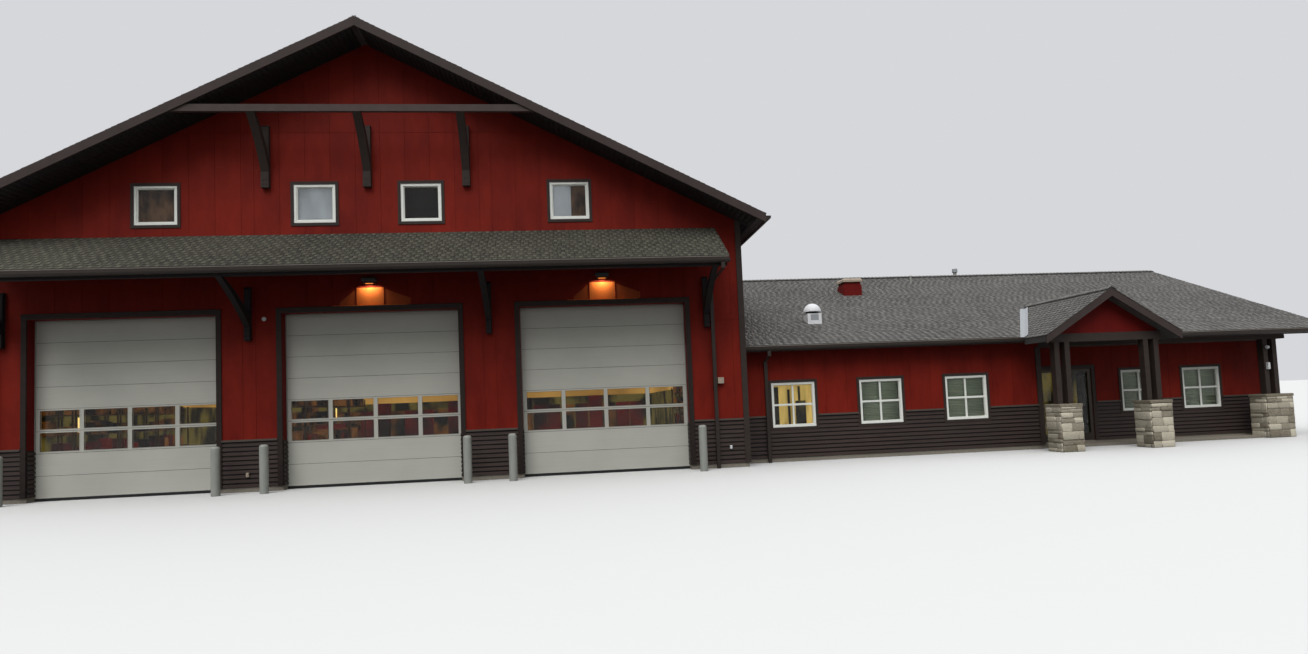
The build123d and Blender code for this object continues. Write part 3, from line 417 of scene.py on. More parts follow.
def window_holes(place):
    """The openings (left, right, low, high) of a wall's windows, with a little to spare all round."""
    wide, high = window_size(place)
    spare = 0.03
    return [(u - wide / 2 - spare, u + wide / 2 + spare, v - high / 2 - spare, v + high / 2 + spare)
            for u, v in windows.get(place, ())]


def panel_siding(place, outline, upright, level, before=(), after=()):
    """Siding panels with open joints over a wall, cut out round its doors and windows."""
    openings = [*before, *window_holes(place), *after]
    sheet = bmesh.new()
    sheet.faces.new([sheet.verts.new((u, 0, v)) for u, v in outline])
    half = PANEL_GAP / 2
    lines = [((u + s * half, 0, 0), (1, 0, 0)) for u in upright for s in (-1, 1)]
    lines += [((0, 0, v + s * half), (0, 0, 1)) for v in level for s in (-1, 1)]
    for left, right, low, high in openings:
        lines += [((u, 0, 0), (1, 0, 0)) for u in (left, right)] + [((0, 0, v), (0, 0, 1)) for v in (low, high)]
    for point, across in lines:
        geometry = sheet.verts[:] + sheet.edges[:] + sheet.faces[:]
        bmesh.ops.bisect_plane(sheet, geom=geometry, dist=1e-6, plane_co=point, plane_no=across)

    def cut_away(face):
        u, _, v = face.calc_center_median()
        if any(abs(u - joint) < half for joint in upright) or any(abs(v - joint) < half for joint in level):
            return True
        return any(left < u < right and low < v < high for left, right, low, high in openings)

    bmesh.ops.delete(sheet, geom=[face for face in sheet.faces if cut_away(face)], context="FACES")
    tone = sheet.faces.layers.float.new("shade")
    tones = {}
    for face in sheet.faces:
        u, _, v = face.calc_center_median()
        panel = (sum(joint < u for joint in upright), sum(joint < v for joint in level))
        face[tone] = tones.setdefault(panel, random.random())
    push(sheet, sheet.faces[:], (0, -PANEL_THICK, 0))
    face_out(sheet)
    bmesh.ops.transform(sheet, matrix=walls[place], verts=sheet.verts[:])
    keep("rear_siding" if place == "back" else f"{place}_siding", sheet, "red_siding", "red_siding")


def joints(left, right):
    """Where the upright joints fall along a wall."""
    first = int(left / PANEL_WIDTH) - 2
    places = [(k + 0.5) * PANEL_WIDTH for k in range(first, first + int((right - left) / PANEL_WIDTH) + 5)]
    return [u for u in places if left + 0.1 < u < right - 0.1]


def plain_outline(left, right, high):
    return [(left, WAINSCOT_TOP), (right, WAINSCOT_TOP), (right, high), (left, high)]


door_openings = [(c - HALF_DOOR, c + HALF_DOOR, 0, DOOR_TOP + 0.05) for c in DOOR_CENTRES]
entry_opening = (ENTRY_CENTRE - 1.09, ENTRY_CENTRE + 1.09, 0, ENTRY_TOP)
front_joints = [c + (k + 0.5) * PANEL_WIDTH for c in DOOR_CENTRES for k in range(-5, 5)]
front_joints += [s * (BAY + 5.5 * PANEL_WIDTH) for s in (-1, 1)]
hall_high = hall_top(HALL_HALF) - HALL_DECK
wing_high = wing_top(WING_FRONT) - WING_DECK
gable_outline = plain_outline(-HALL_HALF, HALL_HALF, hall_high)
gable_outline.insert(3, (0, HALL_RIDGE - HALL_DECK))
end_outline = [(PORCH_WALL, WAINSCOT_TOP), (WING_BACK, WAINSCOT_TOP), (WING_BACK, wing_high),
               (WING_MIDDLE, wing_top(WING_MIDDLE) - WING_DECK), (WING_FRONT, wing_high), (WING_FRONT, PORCH_HIGH),
               (PORCH_WALL, PORCH_HIGH)]
for place, doors in (("front", door_openings), ("back", ())):
    panel_siding(place, gable_outline, front_joints, (HALL_JOINT, 6.29, 8.87), doors)
for place in ("left", "right"):
    panel_siding(place, plain_outline(HALL_FRONT, HALL_BACK, hall_high), joints(HALL_FRONT, HALL_BACK), (HALL_JOINT,))
for place, left, right, high, doors in (("wing_front", HALL_HALF + 0.03, PORCH_START, wing_high, ()),
                                        ("porch", PORCH_START + 0.01, WING_END, PORCH_HIGH, (entry_opening,)),
                                        ("porch_return", WING_FRONT, PORCH_WALL - 0.01, PORCH_HIGH, ()),
                                        ("wing_rear", -WING_END, -HALL_HALF - 0.03, wing_high, ())):
    panel_siding(place, plain_outline(left, right, high), joints(left, right), (), (), doors)
panel_siding("wing_end", end_outline, joints(WING_FRONT, WING_BACK), (3.0,))

# ---- Lap boards below the cap ----
LAP = 0.115
LAP_FOOT = 0.025
LAP_FALL = 0.012
LAP_BACK = -0.002
# The notch under each board's foot is painted darker, as shade under the board above; the board faces take their own
# tone
NOTCH_PAINTED_SHADE, FACE_TONE = -1.2, 0.6


def lap_boards(shape, placing, left, right, low=CURB, high=CAP_BOTTOM):
    """Clapboards over part of a wall: each board's foot stands out over the head of the one below."""
    courses = int((CAP_BOTTOM - CURB) / LAP + 0.5)
    pitch = (CAP_BOTTOM - CURB) / courses
    outline = [(0.0, low)]
    for course in range(courses):
        foot, head = CURB + pitch * course, CURB + pitch * (course + 1)
        if head <= low + 1e-4 or foot >= high - 1e-4:
            continue
        bottom, top = max(foot, low), min(head, high)
        outline.append((-LAP_FOOT + LAP_FALL * (bottom - foot) / pitch, bottom))
        if top == head:
            outline += [(-0.016, head - 0.036), (LAP_BACK, head - 0.03), (LAP_BACK, head)]
        else:
            outline.append((-LAP_FOOT + LAP_FALL * (top - foot) / pitch, top))
    outline.append((0.0, high))
    tone = shape.faces.layers.float.get("shade") or shape.faces.layers.float.new("shade")
    start = [shape.verts.new((left, y, z)) for y, z in outline]
    end = push(shape, [shape.faces.new(start)], (right - left, 0, 0))
    # Painted shade on the notch faces, with the board faces lighter
    for face in {face for vert in start for face in vert.link_faces}:
        face[tone] = NOTCH_PAINTED_SHADE if face.calc_center_median().y > -0.012 else FACE_TONE
    bmesh.ops.transform(shape, matrix=placing, verts=start + end)


def lap_wall(shape, place, left, right):
    """Lap boards along a wall, stopped at the trim of each window that reaches down into them."""
    sill = OFFICE_WINDOW_Z - OFFICE_WINDOW[1] / 2 - WINDOW_TRIM
    side = OFFICE_WINDOW[0] / 2 + WINDOW_TRIM
    u = left
    for centre, v in sorted(windows.get(place, ())):
        if v == OFFICE_WINDOW_Z and left < centre < right:
            lap_boards(shape, walls[place], u, centre - side)
            lap_boards(shape, walls[place], centre - side, centre + side, CURB, sill)
            u = centre + side
    lap_boards(shape, walls[place], u, right)


laps, jamb_laps = blanks(2)
pier_edges = [-HALL_HALF] + [c + s * HALF_DOOR for c in DOOR_CENTRES for s in (-1, 1)] + [HALL_HALF]
for left, right in zip(pier_edges[0::2], pier_edges[1::2]):
    lap_wall(laps, "front", left + (CORNER_BOARD if left == -HALL_HALF else DOOR_TRIM),
             right - (CORNER_BOARD if right == HALL_HALF else DOOR_TRIM))
for place, left, right in (("back", CORNER_BOARD - HALL_HALF, HALL_HALF - CORNER_BOARD),
                           ("left", HALL_FRONT + CORNER_BOARD, HALL_BACK - CORNER_BOARD),
                           ("right", HALL_FRONT + CORNER_BOARD, WING_FRONT - 0.062),
                           ("right", WING_BACK + 0.062, HALL_BACK - CORNER_BOARD),
                           ("wing_front", HALL_HALF + 0.002, PORCH_START - CORNER_BOARD),
                           ("porch", PORCH_START + 0.002, ENTRY_CENTRE - 1.07),
                           ("porch", ENTRY_CENTRE + 1.07, WING_END - CORNER_BOARD),
                           ("porch_return", WING_FRONT + CORNER_BOARD, PORCH_WALL - 0.03),
                           ("wing_rear", CORNER_BOARD - WING_END, -HALL_HALF - 0.002),
                           ("wing_end", PORCH_WALL + CORNER_BOARD, WING_BACK - CORNER_BOARD)):
    lap_wall(laps, place, left, right)
for centre in DOOR_CENTRES:
    for side in (-1, 1):
        jamb = wall(-side * pi / 2, centre + side * HALF_DOOR, HALL_FRONT)
        lap_boards(jamb_laps, jamb, *sorted((0.0, -side * 0.285)))
face_out(laps)
face_out(jamb_laps)
keep("lap_boards", laps, "dark_laps", "dark_siding", "wainscot_boards")
keep("jamb_lap_boards", jamb_laps, "dark_laps", "dark_siding")

# ---- Shingles ----
EXPOSURE = 0.143
EAVE_OVER = 0.014
RAKE_OVER = 0.0015  # the hall's and the wing's rakes are the building's own limits
GUTTER_SIDE = 0.125
# Width and thickness of the tabs that follow each other along a course
TAB_CYCLE = ((0.21, 0.011), (0.13, 0.005), (0.17, 0.011), (0.12, 0.005), (0.24, 0.011), (0.14, 0.005))
FINE_CYCLE = ((0.12, 0.011), (0.08, 0.005), (0.11, 0.011), (0.09, 0.005))
CAP_CYCLE = ((0.2, 0.012),)
CAP_EXPOSURE = 0.14
CAP_WIDTH = 0.15
VENT_RISE = 0.035


def shingle_tab():
    """A tab of one metre by one: thick at its foot, thin at its head."""
    tab = bmesh.new()
    for point in block(tab, (0, 0, 0), (1, 1, 1)):
        if point.co.y > 0.5 and point.co.z > 0.5:
            point.co.z = 0.12
    return tab


def tab_courses(origin, along, up, count, span, cycle=TAB_CYCLE, stagger=None, exposure=EXPOSURE):
    """Placings of shingle tabs on a slope; span(i) gives where course i starts and ends.

    With no stagger given, each course starts anywhere in the cycle of tabs.
    """
    along, up = Vector(along).normalized(), Vector(up).normalized()
    out = along.cross(up)
    whole = sum(width for width, _ in cycle)
    placings, shades = [], []
    for course in range(count):
        start, end = span(course)
        if end - start < 0.02:
            continue
        if stagger is None:
            u = start - random.uniform(0, whole)
        else:
            u = start - (course + random.uniform(-0.2, 0.2)) * stagger % whole
        number = 0
        while u < end:
            width, height = cycle[number % len(cycle)]
            number += 1
            left, right = max(u, start), min(u + width, end)
            u += width
            if right - left < 0.012:
                continue
            foot = Vector(origin) + along * (left + 0.002) + up * (course * exposure)
            placings.append(placing_by((along * (right - left - 0.004), up * exposure * 1.12, out * height), foot))
            shades.append(random.uniform(0.5, 0.95) if height > 0.006 else random.uniform(0.05, 0.4))
    return placings, shades


def shingled(name, finish, slopes, *replaced):
    placings, shades = [], []
    for slope in slopes:
        more = tab_courses(*slope)
        placings += more[0]
        shades += more[1]
    keep(name, copies(shingle_tab(), placings, shades), finish, "shingles", *replaced)


def whole_courses(reach, slope):
    return int(reach * sqrt(1 + slope ** 2) / EXPOSURE)


def even(run):
    """Courses that all start and end alike."""
    return lambda course: (0, run)


rake = HALL_OVERHANG + RAKE_OVER
edge = HALL_EDGE + EAVE_OVER
run = HALL_BACK - HALL_FRONT + 2 * rake
for side, name in ((-1, "left"), (1, "right")):
    start = (side * edge, HALL_FRONT - rake if side > 0 else HALL_BACK + rake, hall_top(edge))
    shingled(f"hall_shingles_{name}", "roof_shingles",
             [(start, (0, side, 0), (-side, 0, HALL_SLOPE), whole_courses(edge, HALL_SLOPE) + 1, even(run))])

edge = PENT_REACH - GUTTER_SIDE + EAVE_OVER
shingled("pent_shingles", "pent_shingles",
         [((-PENT_HALF - EAVE_OVER, HALL_FRONT - edge, pent_top(edge)), (1, 0, 0), (0, 1, PENT_SLOPE),
           whole_courses(edge, PENT_SLOPE), even(2 * (PENT_HALF + EAVE_OVER)), FINE_CYCLE, 0.1)])

edge = WING_EAVE - GUTTER_SIDE + EAVE_OVER
run = WING_RIGHT + RAKE_OVER - HALL_HALF - 0.01
for side, name, x, y in ((1, "front", HALL_HALF + 0.01, WING_FRONT - edge),
                         (-1, "rear", WING_RIGHT + RAKE_OVER, WING_BACK + edge)):
    shingled(f"wing_shingles_{name}", "roof_shingles",
             [((x, y, wing_top(y)), (side, 0, 0), (0, side, WING_SLOPE), whole_courses(WING_HALF + edge, WING_SLOPE),
               even(run), FINE_CYCLE)])


def entry_span(side):
    """How far each course of an entry slope runs before it meets the wing's roof."""
    fall = sqrt(1 + ENTRY_SLOPE ** 2)

    def span(course):
        across = ENTRY_HALF + EAVE_OVER - course * EXPOSURE / fall
        height = WING_EAVE_TOP + ENTRY_SLOPE * (ENTRY_HALF - across)
        valley = WING_FRONT - WING_EAVE + (height - WING_EAVE_TOP) / WING_SLOPE
        run = valley - (ENTRY_FRONT - EAVE_OVER)
        return (0, run) if side > 0 else (-run, 0)

    return span


edge = ENTRY_HALF + EAVE_OVER
shingled("entry_shingles", "roof_shingles",
         [((ENTRY_CENTRE + side * edge, ENTRY_FRONT - EAVE_OVER, WING_EAVE_TOP - ENTRY_SLOPE * EAVE_OVER),
           (0, side, 0), (-side, 0, ENTRY_SLOPE), whole_courses(edge, ENTRY_SLOPE), entry_span(side), FINE_CYCLE)
          for side in (-1, 1)])


def ridge_caps(start, along, length, slope, sideways):
    """Cap shingles that fold over a ridge, one over the tail of the last."""
    start, along = Vector(start), Vector(along)
    slopes = []
    for side in (-1, 1):
        down = Vector(sideways) * side - Vector((0, 0, slope))
        first = down if down.cross(along).z > 0 else -down
        origin = start if first is down else start + down.normalized() * CAP_WIDTH
        slopes.append((origin, first, along, int(length / CAP_EXPOSURE), even(CAP_WIDTH), CAP_CYCLE, 0, CAP_EXPOSURE))
    return slopes


valley_end = WING_FRONT - WING_EAVE + ENTRY_SLOPE * ENTRY_HALF / WING_SLOPE
wing_ridge, entry_ridge = wing_top(WING_MIDDLE), entry_top(ENTRY_CENTRE)
# Dark strips under the ridge caps, drawn as ridge vents and dark enough to paint the shadow line under the caps
vents = bmesh.new()
for placing, slope, length in (
        (Matrix.Translation((ENTRY_CENTRE, ENTRY_FRONT, entry_ridge)), ENTRY_SLOPE, valley_end - ENTRY_FRONT - 0.05),
        (Matrix.Translation((WING_RIGHT, WING_MIDDLE, wing_ridge)) @ Matrix.Rotation(pi / 2, 4, "Z"), WING_SLOPE,
         WING_RIGHT - HALL_HALF - 0.02)):
    rim = ((-0.13, 0), (0.13, 0), (0.13, VENT_RISE), (0, VENT_RISE), (-0.13, VENT_RISE))
    first = [vents.verts.new((across, 0.01, rise - slope * abs(across))) for across, rise in rim]
    last = push(vents, [vents.faces.new(first)], (0, length, 0))
    bmesh.ops.transform(vents, matrix=placing, verts=first + last)
face_out(vents)
keep("ridge_vent_shadow_strips", vents, "dark_louvre", "bronze_metal")
shingled("ridge_cap_shingles", "roof_shingles",
         ridge_caps((0, HALL_FRONT - HALL_OVERHANG, HALL_RIDGE + 0.004), (0, 1, 0),
                    HALL_BACK - HALL_FRONT + 2 * HALL_OVERHANG, HALL_SLOPE, (1, 0, 0))
         + ridge_caps((HALL_HALF + 0.01, WING_MIDDLE, wing_ridge + VENT_RISE), (1, 0, 0), WING_RIGHT - HALL_HALF,
                      WING_SLOPE, (0, 1, 0))
         + ridge_caps((ENTRY_CENTRE, ENTRY_FRONT, entry_ridge + VENT_RISE), (0, 1, 0), valley_end - ENTRY_FRONT,
                      ENTRY_SLOPE, (1, 0, 0)), "ridge_caps")

# ---- Valley flashing beside the entry gable ----
flashing = bmesh.new()
low_y, high_y = WING_FRONT - WING_EAVE + 0.02, WING_FRONT - WING_EAVE + 2.6
for edge, far, lift in ((-0.12, -0.17, 0.0), (0.12, 0.1, ENTRY_SLOPE)):
    corners = []
    for y, out in ((low_y, edge), (high_y, far)):
        x = ENTRY_CENTRE - ENTRY_HALF + (wing_top(y) - WING_EAVE_TOP) / ENTRY_SLOPE
        pair = [(x, y, wing_top(y) + 0.02), (x + out, y, wing_top(y) + 0.02 + lift * out)]
        corners += pair if y == low_y else pair[::-1]
    push(flashing, [flashing.faces.new([flashing.verts.new(p) for p in corners])], (0, 0, 0.003))
face_out(flashing)
keep("valley_flashing_strip", flashing, "vent_panel", "white_metal")


# ---- Windows: sashes, bars, blinds and the rooms behind ----
def ring(shape, place, centre, half_u, half_v, width, near, far):
    """Four bars round an opening in a wall, inside its edges."""
    u, v = centre
    for u0, v0, u1, v1 in ((-half_u, -half_v, width - half_u, half_v), (half_u - width, -half_v, half_u, half_v),
                           (width - half_u, -half_v, half_u - width, width - half_v),
                           (width - half_u, half_v - width, half_u - width, half_v)):
        in_wall(shape, place, (u + u0, near, v + v0), (u + u1, far, v + v1))


FRAME_EDGE = 0.06
SLAT_PITCH = 0.045
SLAT_TILT = radians(-56)
GABLE_ROOMS = (("pale_shade", 0.09), ("dim_room", 0.25), ("brown_store", 0.2), ("brown_store", 0.2))
sashes, bars, slat_places = bmesh.new(), bmesh.new(), []
# The rooms behind are sheets that glow with painted light
rooms = {finish: bmesh.new() for finish in ("warm_room", "dim_room", "pale_shade", "brown_store", "bay_dado")}
for place, centres in windows.items():
    wide, high = window_size(place)
    half_u, half_v = wide / 2 - FRAME_EDGE, high / 2 - FRAME_EDGE
    gable = place in ("front", "back")
    for number, (u, v) in enumerate(centres):
        left, right, low, high = u - half_u, u + half_u, v - half_v, v + half_v
        ring(sashes, place, (u, v), half_u, half_v, 0.024 if gable else 0.014, 0.005, 0.06)
        if not gable:
            slab(bars, place, u, 0.026, (0.02, 0.056), (low + 0.01, high - 0.01))
            in_wall(bars, place, (left + 0.01, 0.022, v - 0.028), (right - 0.01, 0.054, v + 0.028))
        warm = place == "wing_front" and number == 0
        finish, depth = ("warm_room" if warm else "dim_room", 0.25)
        if place == "front":
            finish, depth = GABLE_ROOMS[number]
        in_wall(rooms[finish], place, (left - 0.05, depth, low - 0.05), (right + 0.05, depth + 0.02, high + 0.05))
        if place == "front" and number == 3:
            in_wall(rooms["pale_shade"], place, (left, 0.08, low), (u + 0.04, 0.09, high))
        if warm:
            for x0, x1, top in ((-0.5, -0.36, 0.5), (-0.1, -0.04, 0.42), (0.12, 0.4, 0.1), (0.2, 0.26, 0.5)):
                in_wall(rooms["bay_dado"], place, (u + x0, 0.19, low), (u + x1, 0.22, v + top))
        elif not gable:
            tilt = Matrix.Rotation(SLAT_TILT, 4, "X") @ Matrix.Diagonal((2 * half_u - 0.02, 1, 1, 1))
            for k in range(int(2 * half_v / SLAT_PITCH)):
                hung = Matrix.Translation((u, 0.1, v + half_v - 0.03 - k * SLAT_PITCH))
                slat_places.append(walls[place] @ hung @ tilt)
ease(sashes, 0.004)
ease(bars, 0.005)
keep("window_sashes", sashes, "vinyl", "white_vinyl")
keep("window_bars", bars, "vinyl", "white_vinyl")
for finish, shape in rooms.items():
    keep(finish + "_backs", shape, finish, "white_vinyl")
slat = bmesh.new()
block(slat, (-0.5, -0.024, -0.001), (0.5, 0.024, 0.001))
keep("window_blinds", copies(slat, slat_places, [random.random() for _ in slat_places]), "blinds", "white_vinyl")

# ---- Way in under the entry gable ----
CASING_HALF, CASING_HEAD = 1.068, 2.24
lobby, casing, hardware = blanks(3)
slab(lobby, "porch", ENTRY_CENTRE, 1.6, (1.6, 1.62), (0.07, 2.5))
for side in (-1, 1):
    u = ENTRY_CENTRE + side * 0.1
    slab(hardware, "porch", u, 0.014, (-0.07, -0.045), (0.85, 1.5))
    for z in (0.9, 1.43):
        slab(hardware, "porch", u, 0.01, (-0.05, 0.03), (z, z + 0.02))
    low, high = sorted((ENTRY_CENTRE + side * 0.955, ENTRY_CENTRE + side * CASING_HALF))
    in_wall(casing, "porch", (low, -0.03, CURB), (high, -0.001, CASING_HEAD))
slab(casing, "porch", ENTRY_CENTRE, CASING_HALF, (-0.034, -0.001), (CASING_HEAD, ENTRY_TOP))
ease(hardware, 0.003)
ease(casing, 0.004)
keep("lobby_back", lobby, "bay_dado", "white_vinyl")
keep("entry_casing", casing, "dark_timber", "dark_timber")
keep("entry_pull_handles", hardware, "white_metal", "bronze_metal")

# ---- Overhead doors ----
LEAF = HALL_WALL  # how far into the wall the doors hang
LEAF_FRONT = LEAF + 0.004
LIGHT_HEIGHT = SECTION - 0.084
LIGHTS = ((-1.58425, 0.8885), (-0.545, 0.99), (0.545, 0.99), (1.58425, 0.8885))
BEAD = 0.014
gaskets, beads, rails, gaps, weather = blanks(5)


for centre in DOOR_CENTRES:
    for number in (2, 3):
        z = SEAL + SECTION * (number + 0.5)
        for offset, width in LIGHTS:
            ring(beads, "front", (centre + offset, z), width / 2 + BEAD, LIGHT_HEIGHT / 2 + BEAD, BEAD,
                 LEAF - 0.005, LEAF_FRONT)
            ring(gaskets, "front", (centre + offset, z), width / 2, LIGHT_HEIGHT / 2, 0.004, LEAF_FRONT, LEAF + 0.02)
    slab(rails, "front", centre, HALF_DOOR, (LEAF - 0.006, LEAF_FRONT), (SEAL, SEAL + 0.04))
    for number in range(1, 8):
        z = SEAL + SECTION * number
        slab(rails, "front", centre, HALF_DOOR, (LEAF - 0.003, LEAF_FRONT), (z, z + 0.01))
        slab(gaps, "front", centre, HALF_DOOR, (LEAF - 0.001, LEAF_FRONT), (z - 0.008, z - 0.001))
    for side in (-1, 1):
        x = centre + side * HALF_DOOR
        low, high = sorted((x, x - side * 0.02))
        in_wall(weather, "front", (low, LEAF - 0.03, CURB), (high, LEAF - 0.004, DOOR_TOP - 0.01))
    slab(weather, "front", centre, HALF_DOOR, (LEAF - 0.03, LEAF - 0.004), (DOOR_TOP - 0.03, DOOR_TOP))
keep("glazing_beads", beads, "door_steel", "door_steel")
keep("glazing_gaskets", gaskets, "rubber", "rubber")
keep("door_rails", rails, "door_steel", "door_steel")
keep("door_section_gaps", gaps, "dark_louvre", "rubber")
keep("door_weatherstrips", weather, "galvanised", "galvanised")

# ---- Inside of the hall, as seen through the doors ----
# The linings, racks, gear and lockers glow with painted light; only the tube and work lamp finishes are lamps
INSIDE = HALL_HALF - HALL_WALL
BACK = HALL_BACK - HALL_WALL
for name, finish, low, high in (("bay_lining", "bay_walls", 2.3, 6.4), ("bay_dado", "bay_dado", FLOOR_TOP, 2.3)):
    lining = bmesh.new()
    block(lining, (-INSIDE, BACK - 0.03, low), (INSIDE, BACK - 0.01, high))
    for side in (-1, 1):
        near, far = sorted((side * (INSIDE - 0.01), side * (INSIDE - 0.03)))
        block(lining, (near, HALL_FRONT + 0.4, low), (far, HALL_BACK - 0.4, high))
    if name == "bay_lining":
        block(lining, (-INSIDE, HALL_FRONT + 0.4, high), (INSIDE, HALL_BACK - 0.4, high + 0.02))
    keep(name, lining, finish, "white_vinyl")
tubes = bmesh.new()
for x in (-8.7, -2.9, 2.9, 8.7):
    for y in (-7.5, -3.5, 0.5, 4.5):
        block(tubes, (x - 0.08, y - 1.1, 5.2), (x + 0.08, y + 1.1, 5.28))
ease(tubes, 0.01)
keep("tube_lamps", tubes, "tube_lamp", "white_metal")

RACK_LENGTH = 2.0
RACK_POST = 0.04
RACK_LIMIT = 9.1
RACK_HIGH = 2.3
SHELF = 0.03
racks, gear, lockers, work_lamps = blanks(4)
for x, y in [(x, HALL_FRONT + 1.0 + 2.1 * k) for x in (-9.0, -2.9, 2.9, 9.0) for k in range(4)]:
    low, high = max(x - 0.3, -RACK_LIMIT), min(x + 0.3, RACK_LIMIT)
    for post_x in (low, high - RACK_POST):
        for post_y in (y, y + RACK_LENGTH - RACK_POST):
            block(racks, (post_x, post_y, FLOOR_TOP), (post_x + RACK_POST, post_y + RACK_POST, RACK_HIGH))
    for level in (0.35, 0.95, 1.5, 2.05):
        block(racks, (low, y, level), (high, y + RACK_LENGTH, level + SHELF))
        at = y + 0.06
        while at < y + RACK_LENGTH - 0.35:
            size = random.uniform(0.22, 0.5)
            if random.random() < 0.85:
                shape = gear if level > 1.4 or random.random() < 0.4 else lockers
                block(shape, (low + 0.06, at, level + SHELF),
                      (high - 0.06, at + size - 0.05, level + random.uniform(0.22, 0.45)))
            at += size
for k in range(24):
    x = -8.6 + 0.72 * k
    block(lockers if k % 3 else gear, (x, HALL_BACK - 0.95, FLOOR_TOP),
          (x + 0.66, HALL_BACK - 0.4, 1.9 if k % 5 else RACK_HIGH))
for x, y in ((-2.55, 5.6), (3.3, 5.2), (2.5, 6.8), (8.6, 4.2), (-8.6, 3.0)):
    block(work_lamps, (x, HALL_FRONT + y, 1.6), (x + 0.03, HALL_FRONT + y + 0.03, 2.0))
keep("gear_lockers", lockers, "maroon_lockers", "red_siding")
keep("work_lamps", work_lamps, "tube_lamp", "white_metal")
keep("storage_racks", racks, "rack_steel", "dark_timber")
keep("stored_gear", gear, "stored_gear", "tan_metal")

# ---- Stone plinths ----
PLINTH_TOP = 1.19
PLINTH_HALF = 0.3
ENTRY_POST = HALL_FRONT - 0.25
CAP_OUT = 0.03
STONE_JOINT = 0.006
stone_places, stone_shades = [], []


def ledge_face(placing, width):
    """Courses of thin split stones over one face of a plinth."""
    z = 0.0
    while z < PLINTH_TOP - 0.01:
        height = min(random.choice((0.1, 0.14, 0.18, 0.22)), PLINTH_TOP - z)
        u = -width / 2
        while u < width / 2 - 0.01:
            length = min(random.uniform(0.2, 0.46), width / 2 - u)
            if width / 2 - u - length < 0.08:
                length = width / 2 - u
            depth = random.uniform(0.012, 0.034)
            local = Matrix.Translation((u + length / 2, 0.02 - depth / 2 - 0.01, z + height / 2))
            size = Matrix.Diagonal((length - STONE_JOINT, depth + 0.03, height - STONE_JOINT, 1))
            stone_places.append(placing @ local @ size)
            stone_shades.append(random.random())
            u += length
        z += height


stone_caps = bmesh.new()
plinths = [(25.08, 25.92, HALL_FRONT + 0.71, HALL_FRONT + 1.25)]
plinths += [(x - PLINTH_HALF, x + PLINTH_HALF, ENTRY_POST - PLINTH_HALF, ENTRY_POST + PLINTH_HALF)
            for x in (18.09, 20.69)]
for x0, x1, y0, y1 in plinths:
    middle_x, middle_y = (x0 + x1) / 2, (y0 + y1) / 2
    for turn, width, x, y in ((0, x1 - x0, middle_x, y0), (pi, x1 - x0, middle_x, y1),
                              (-pi / 2, y1 - y0, x0, middle_y), (pi / 2, y1 - y0, x1, middle_y)):
        ledge_face(wall(turn, x, y), width)
    block(stone_caps, (x0 - CAP_OUT, y0 - CAP_OUT, PLINTH_TOP), (x1 + CAP_OUT, y1 + CAP_OUT, 1.272))
ease(stone_caps, 0.012, 2)
keep("plinth_caps", stone_caps, "stone", "stone")
stone = bmesh.new()
block(stone, (-0.5, -0.5, -0.5), (0.5, 0.5, 0.5))
ease(stone, 0.06)
keep("ledge_stones", copies(stone, stone_places, stone_shades), "stone", "stone")

# ---- Soffits and drip edges ----
SOFFIT_START = 0.18
DRIP_EDGE = 0.118
soffits = []


def soffit(start, along, length, up, reach, width=0.14):
    """Boards under a slope, from its low edge upwards."""
    along, up = Vector(along).normalized(), Vector(up).normalized()
    out = along.cross(up)
    out = out if out.z > 0 else -out
    for k in range(int(reach / width)):
        centre = Vector(start) + along * (length / 2) + up * ((k + 0.5) * width)
        columns = (along * length, up * (width - 0.006), out * 0.012)
        if columns[0].cross(columns[1]).dot(columns[2]) < 0:
            columns = (-columns[0], columns[1], columns[2])
        soffits.append(placing_by(columns, centre))


hall_fall = sqrt(1 + HALL_SLOPE ** 2)
wing_fall = sqrt(1 + WING_SLOPE ** 2)
wing_reach = WING_HALF + WING_EAVE - SOFFIT_START
for side in (-1, 1):
    x = side * (HALL_EDGE - 0.2)
    under = hall_top(x) - HALL_DECK - 0.001
    up = (-side, 0, HALL_SLOPE)
    for y in (HALL_FRONT - HALL_OVERHANG + 0.05, HALL_BACK + 0.02):
        soffit((x, y, under), (0, 1, 0), HALL_OVERHANG - 0.07, up, (HALL_EDGE - 0.2) * hall_fall)
    soffit((x, HALL_FRONT, under), (0, 1, 0), HALL_BACK - HALL_FRONT, up,
           (HALL_EDGE - 0.22 - HALL_HALF) * hall_fall, 0.1)
    y = WING_MIDDLE + side * wing_reach
    under = wing_top(y) - WING_DECK - 0.001
    up = (0, -side, WING_SLOPE)
    soffit((HALL_HALF + 0.05, y, under), (1, 0, 0), WING_END - HALL_HALF - 0.05, up, 0.4 * wing_fall, 0.1)
    soffit((WING_END + 0.02, y, under), (1, 0, 0), 1.14, up, wing_reach * wing_fall)
edge = PENT_REACH - SOFFIT_START
soffit((0.06 - PENT_HALF, HALL_FRONT - edge, pent_top(edge) - 0.121), (1, 0, 0), 2 * PENT_HALF - 0.12,
       (0, 1, PENT_SLOPE), (edge - 0.05) * sqrt(1 + PENT_SLOPE ** 2))
board = bmesh.new()
block(board, (-0.5, -0.5, -1), (0.5, 0.5, 0))
keep("soffit_boards", copies(board, soffits, [random.random() for _ in soffits]), "soffit_timber_painted_shade", "dark_timber")

drips = bmesh.new()
edge = PENT_REACH - DRIP_EDGE
block(drips, (-PENT_HALF, HALL_FRONT - edge, pent_top(edge) - 0.03),
      (PENT_HALF, HALL_FRONT - edge + 0.006, pent_top(edge) + 0.002))
for side in (-1, 1):
    y = WING_MIDDLE + side * (WING_HALF + WING_EAVE - DRIP_EDGE)
    low, high = sorted((y, y - side * 0.006))
    block(drips, (HALL_HALF + 0.05, low, wing_top(y) - 0.03), (WING_RIGHT, high, wing_top(y) + 0.002))
keep("drip_edges", drips, "drip_metal", "gutter_metal")
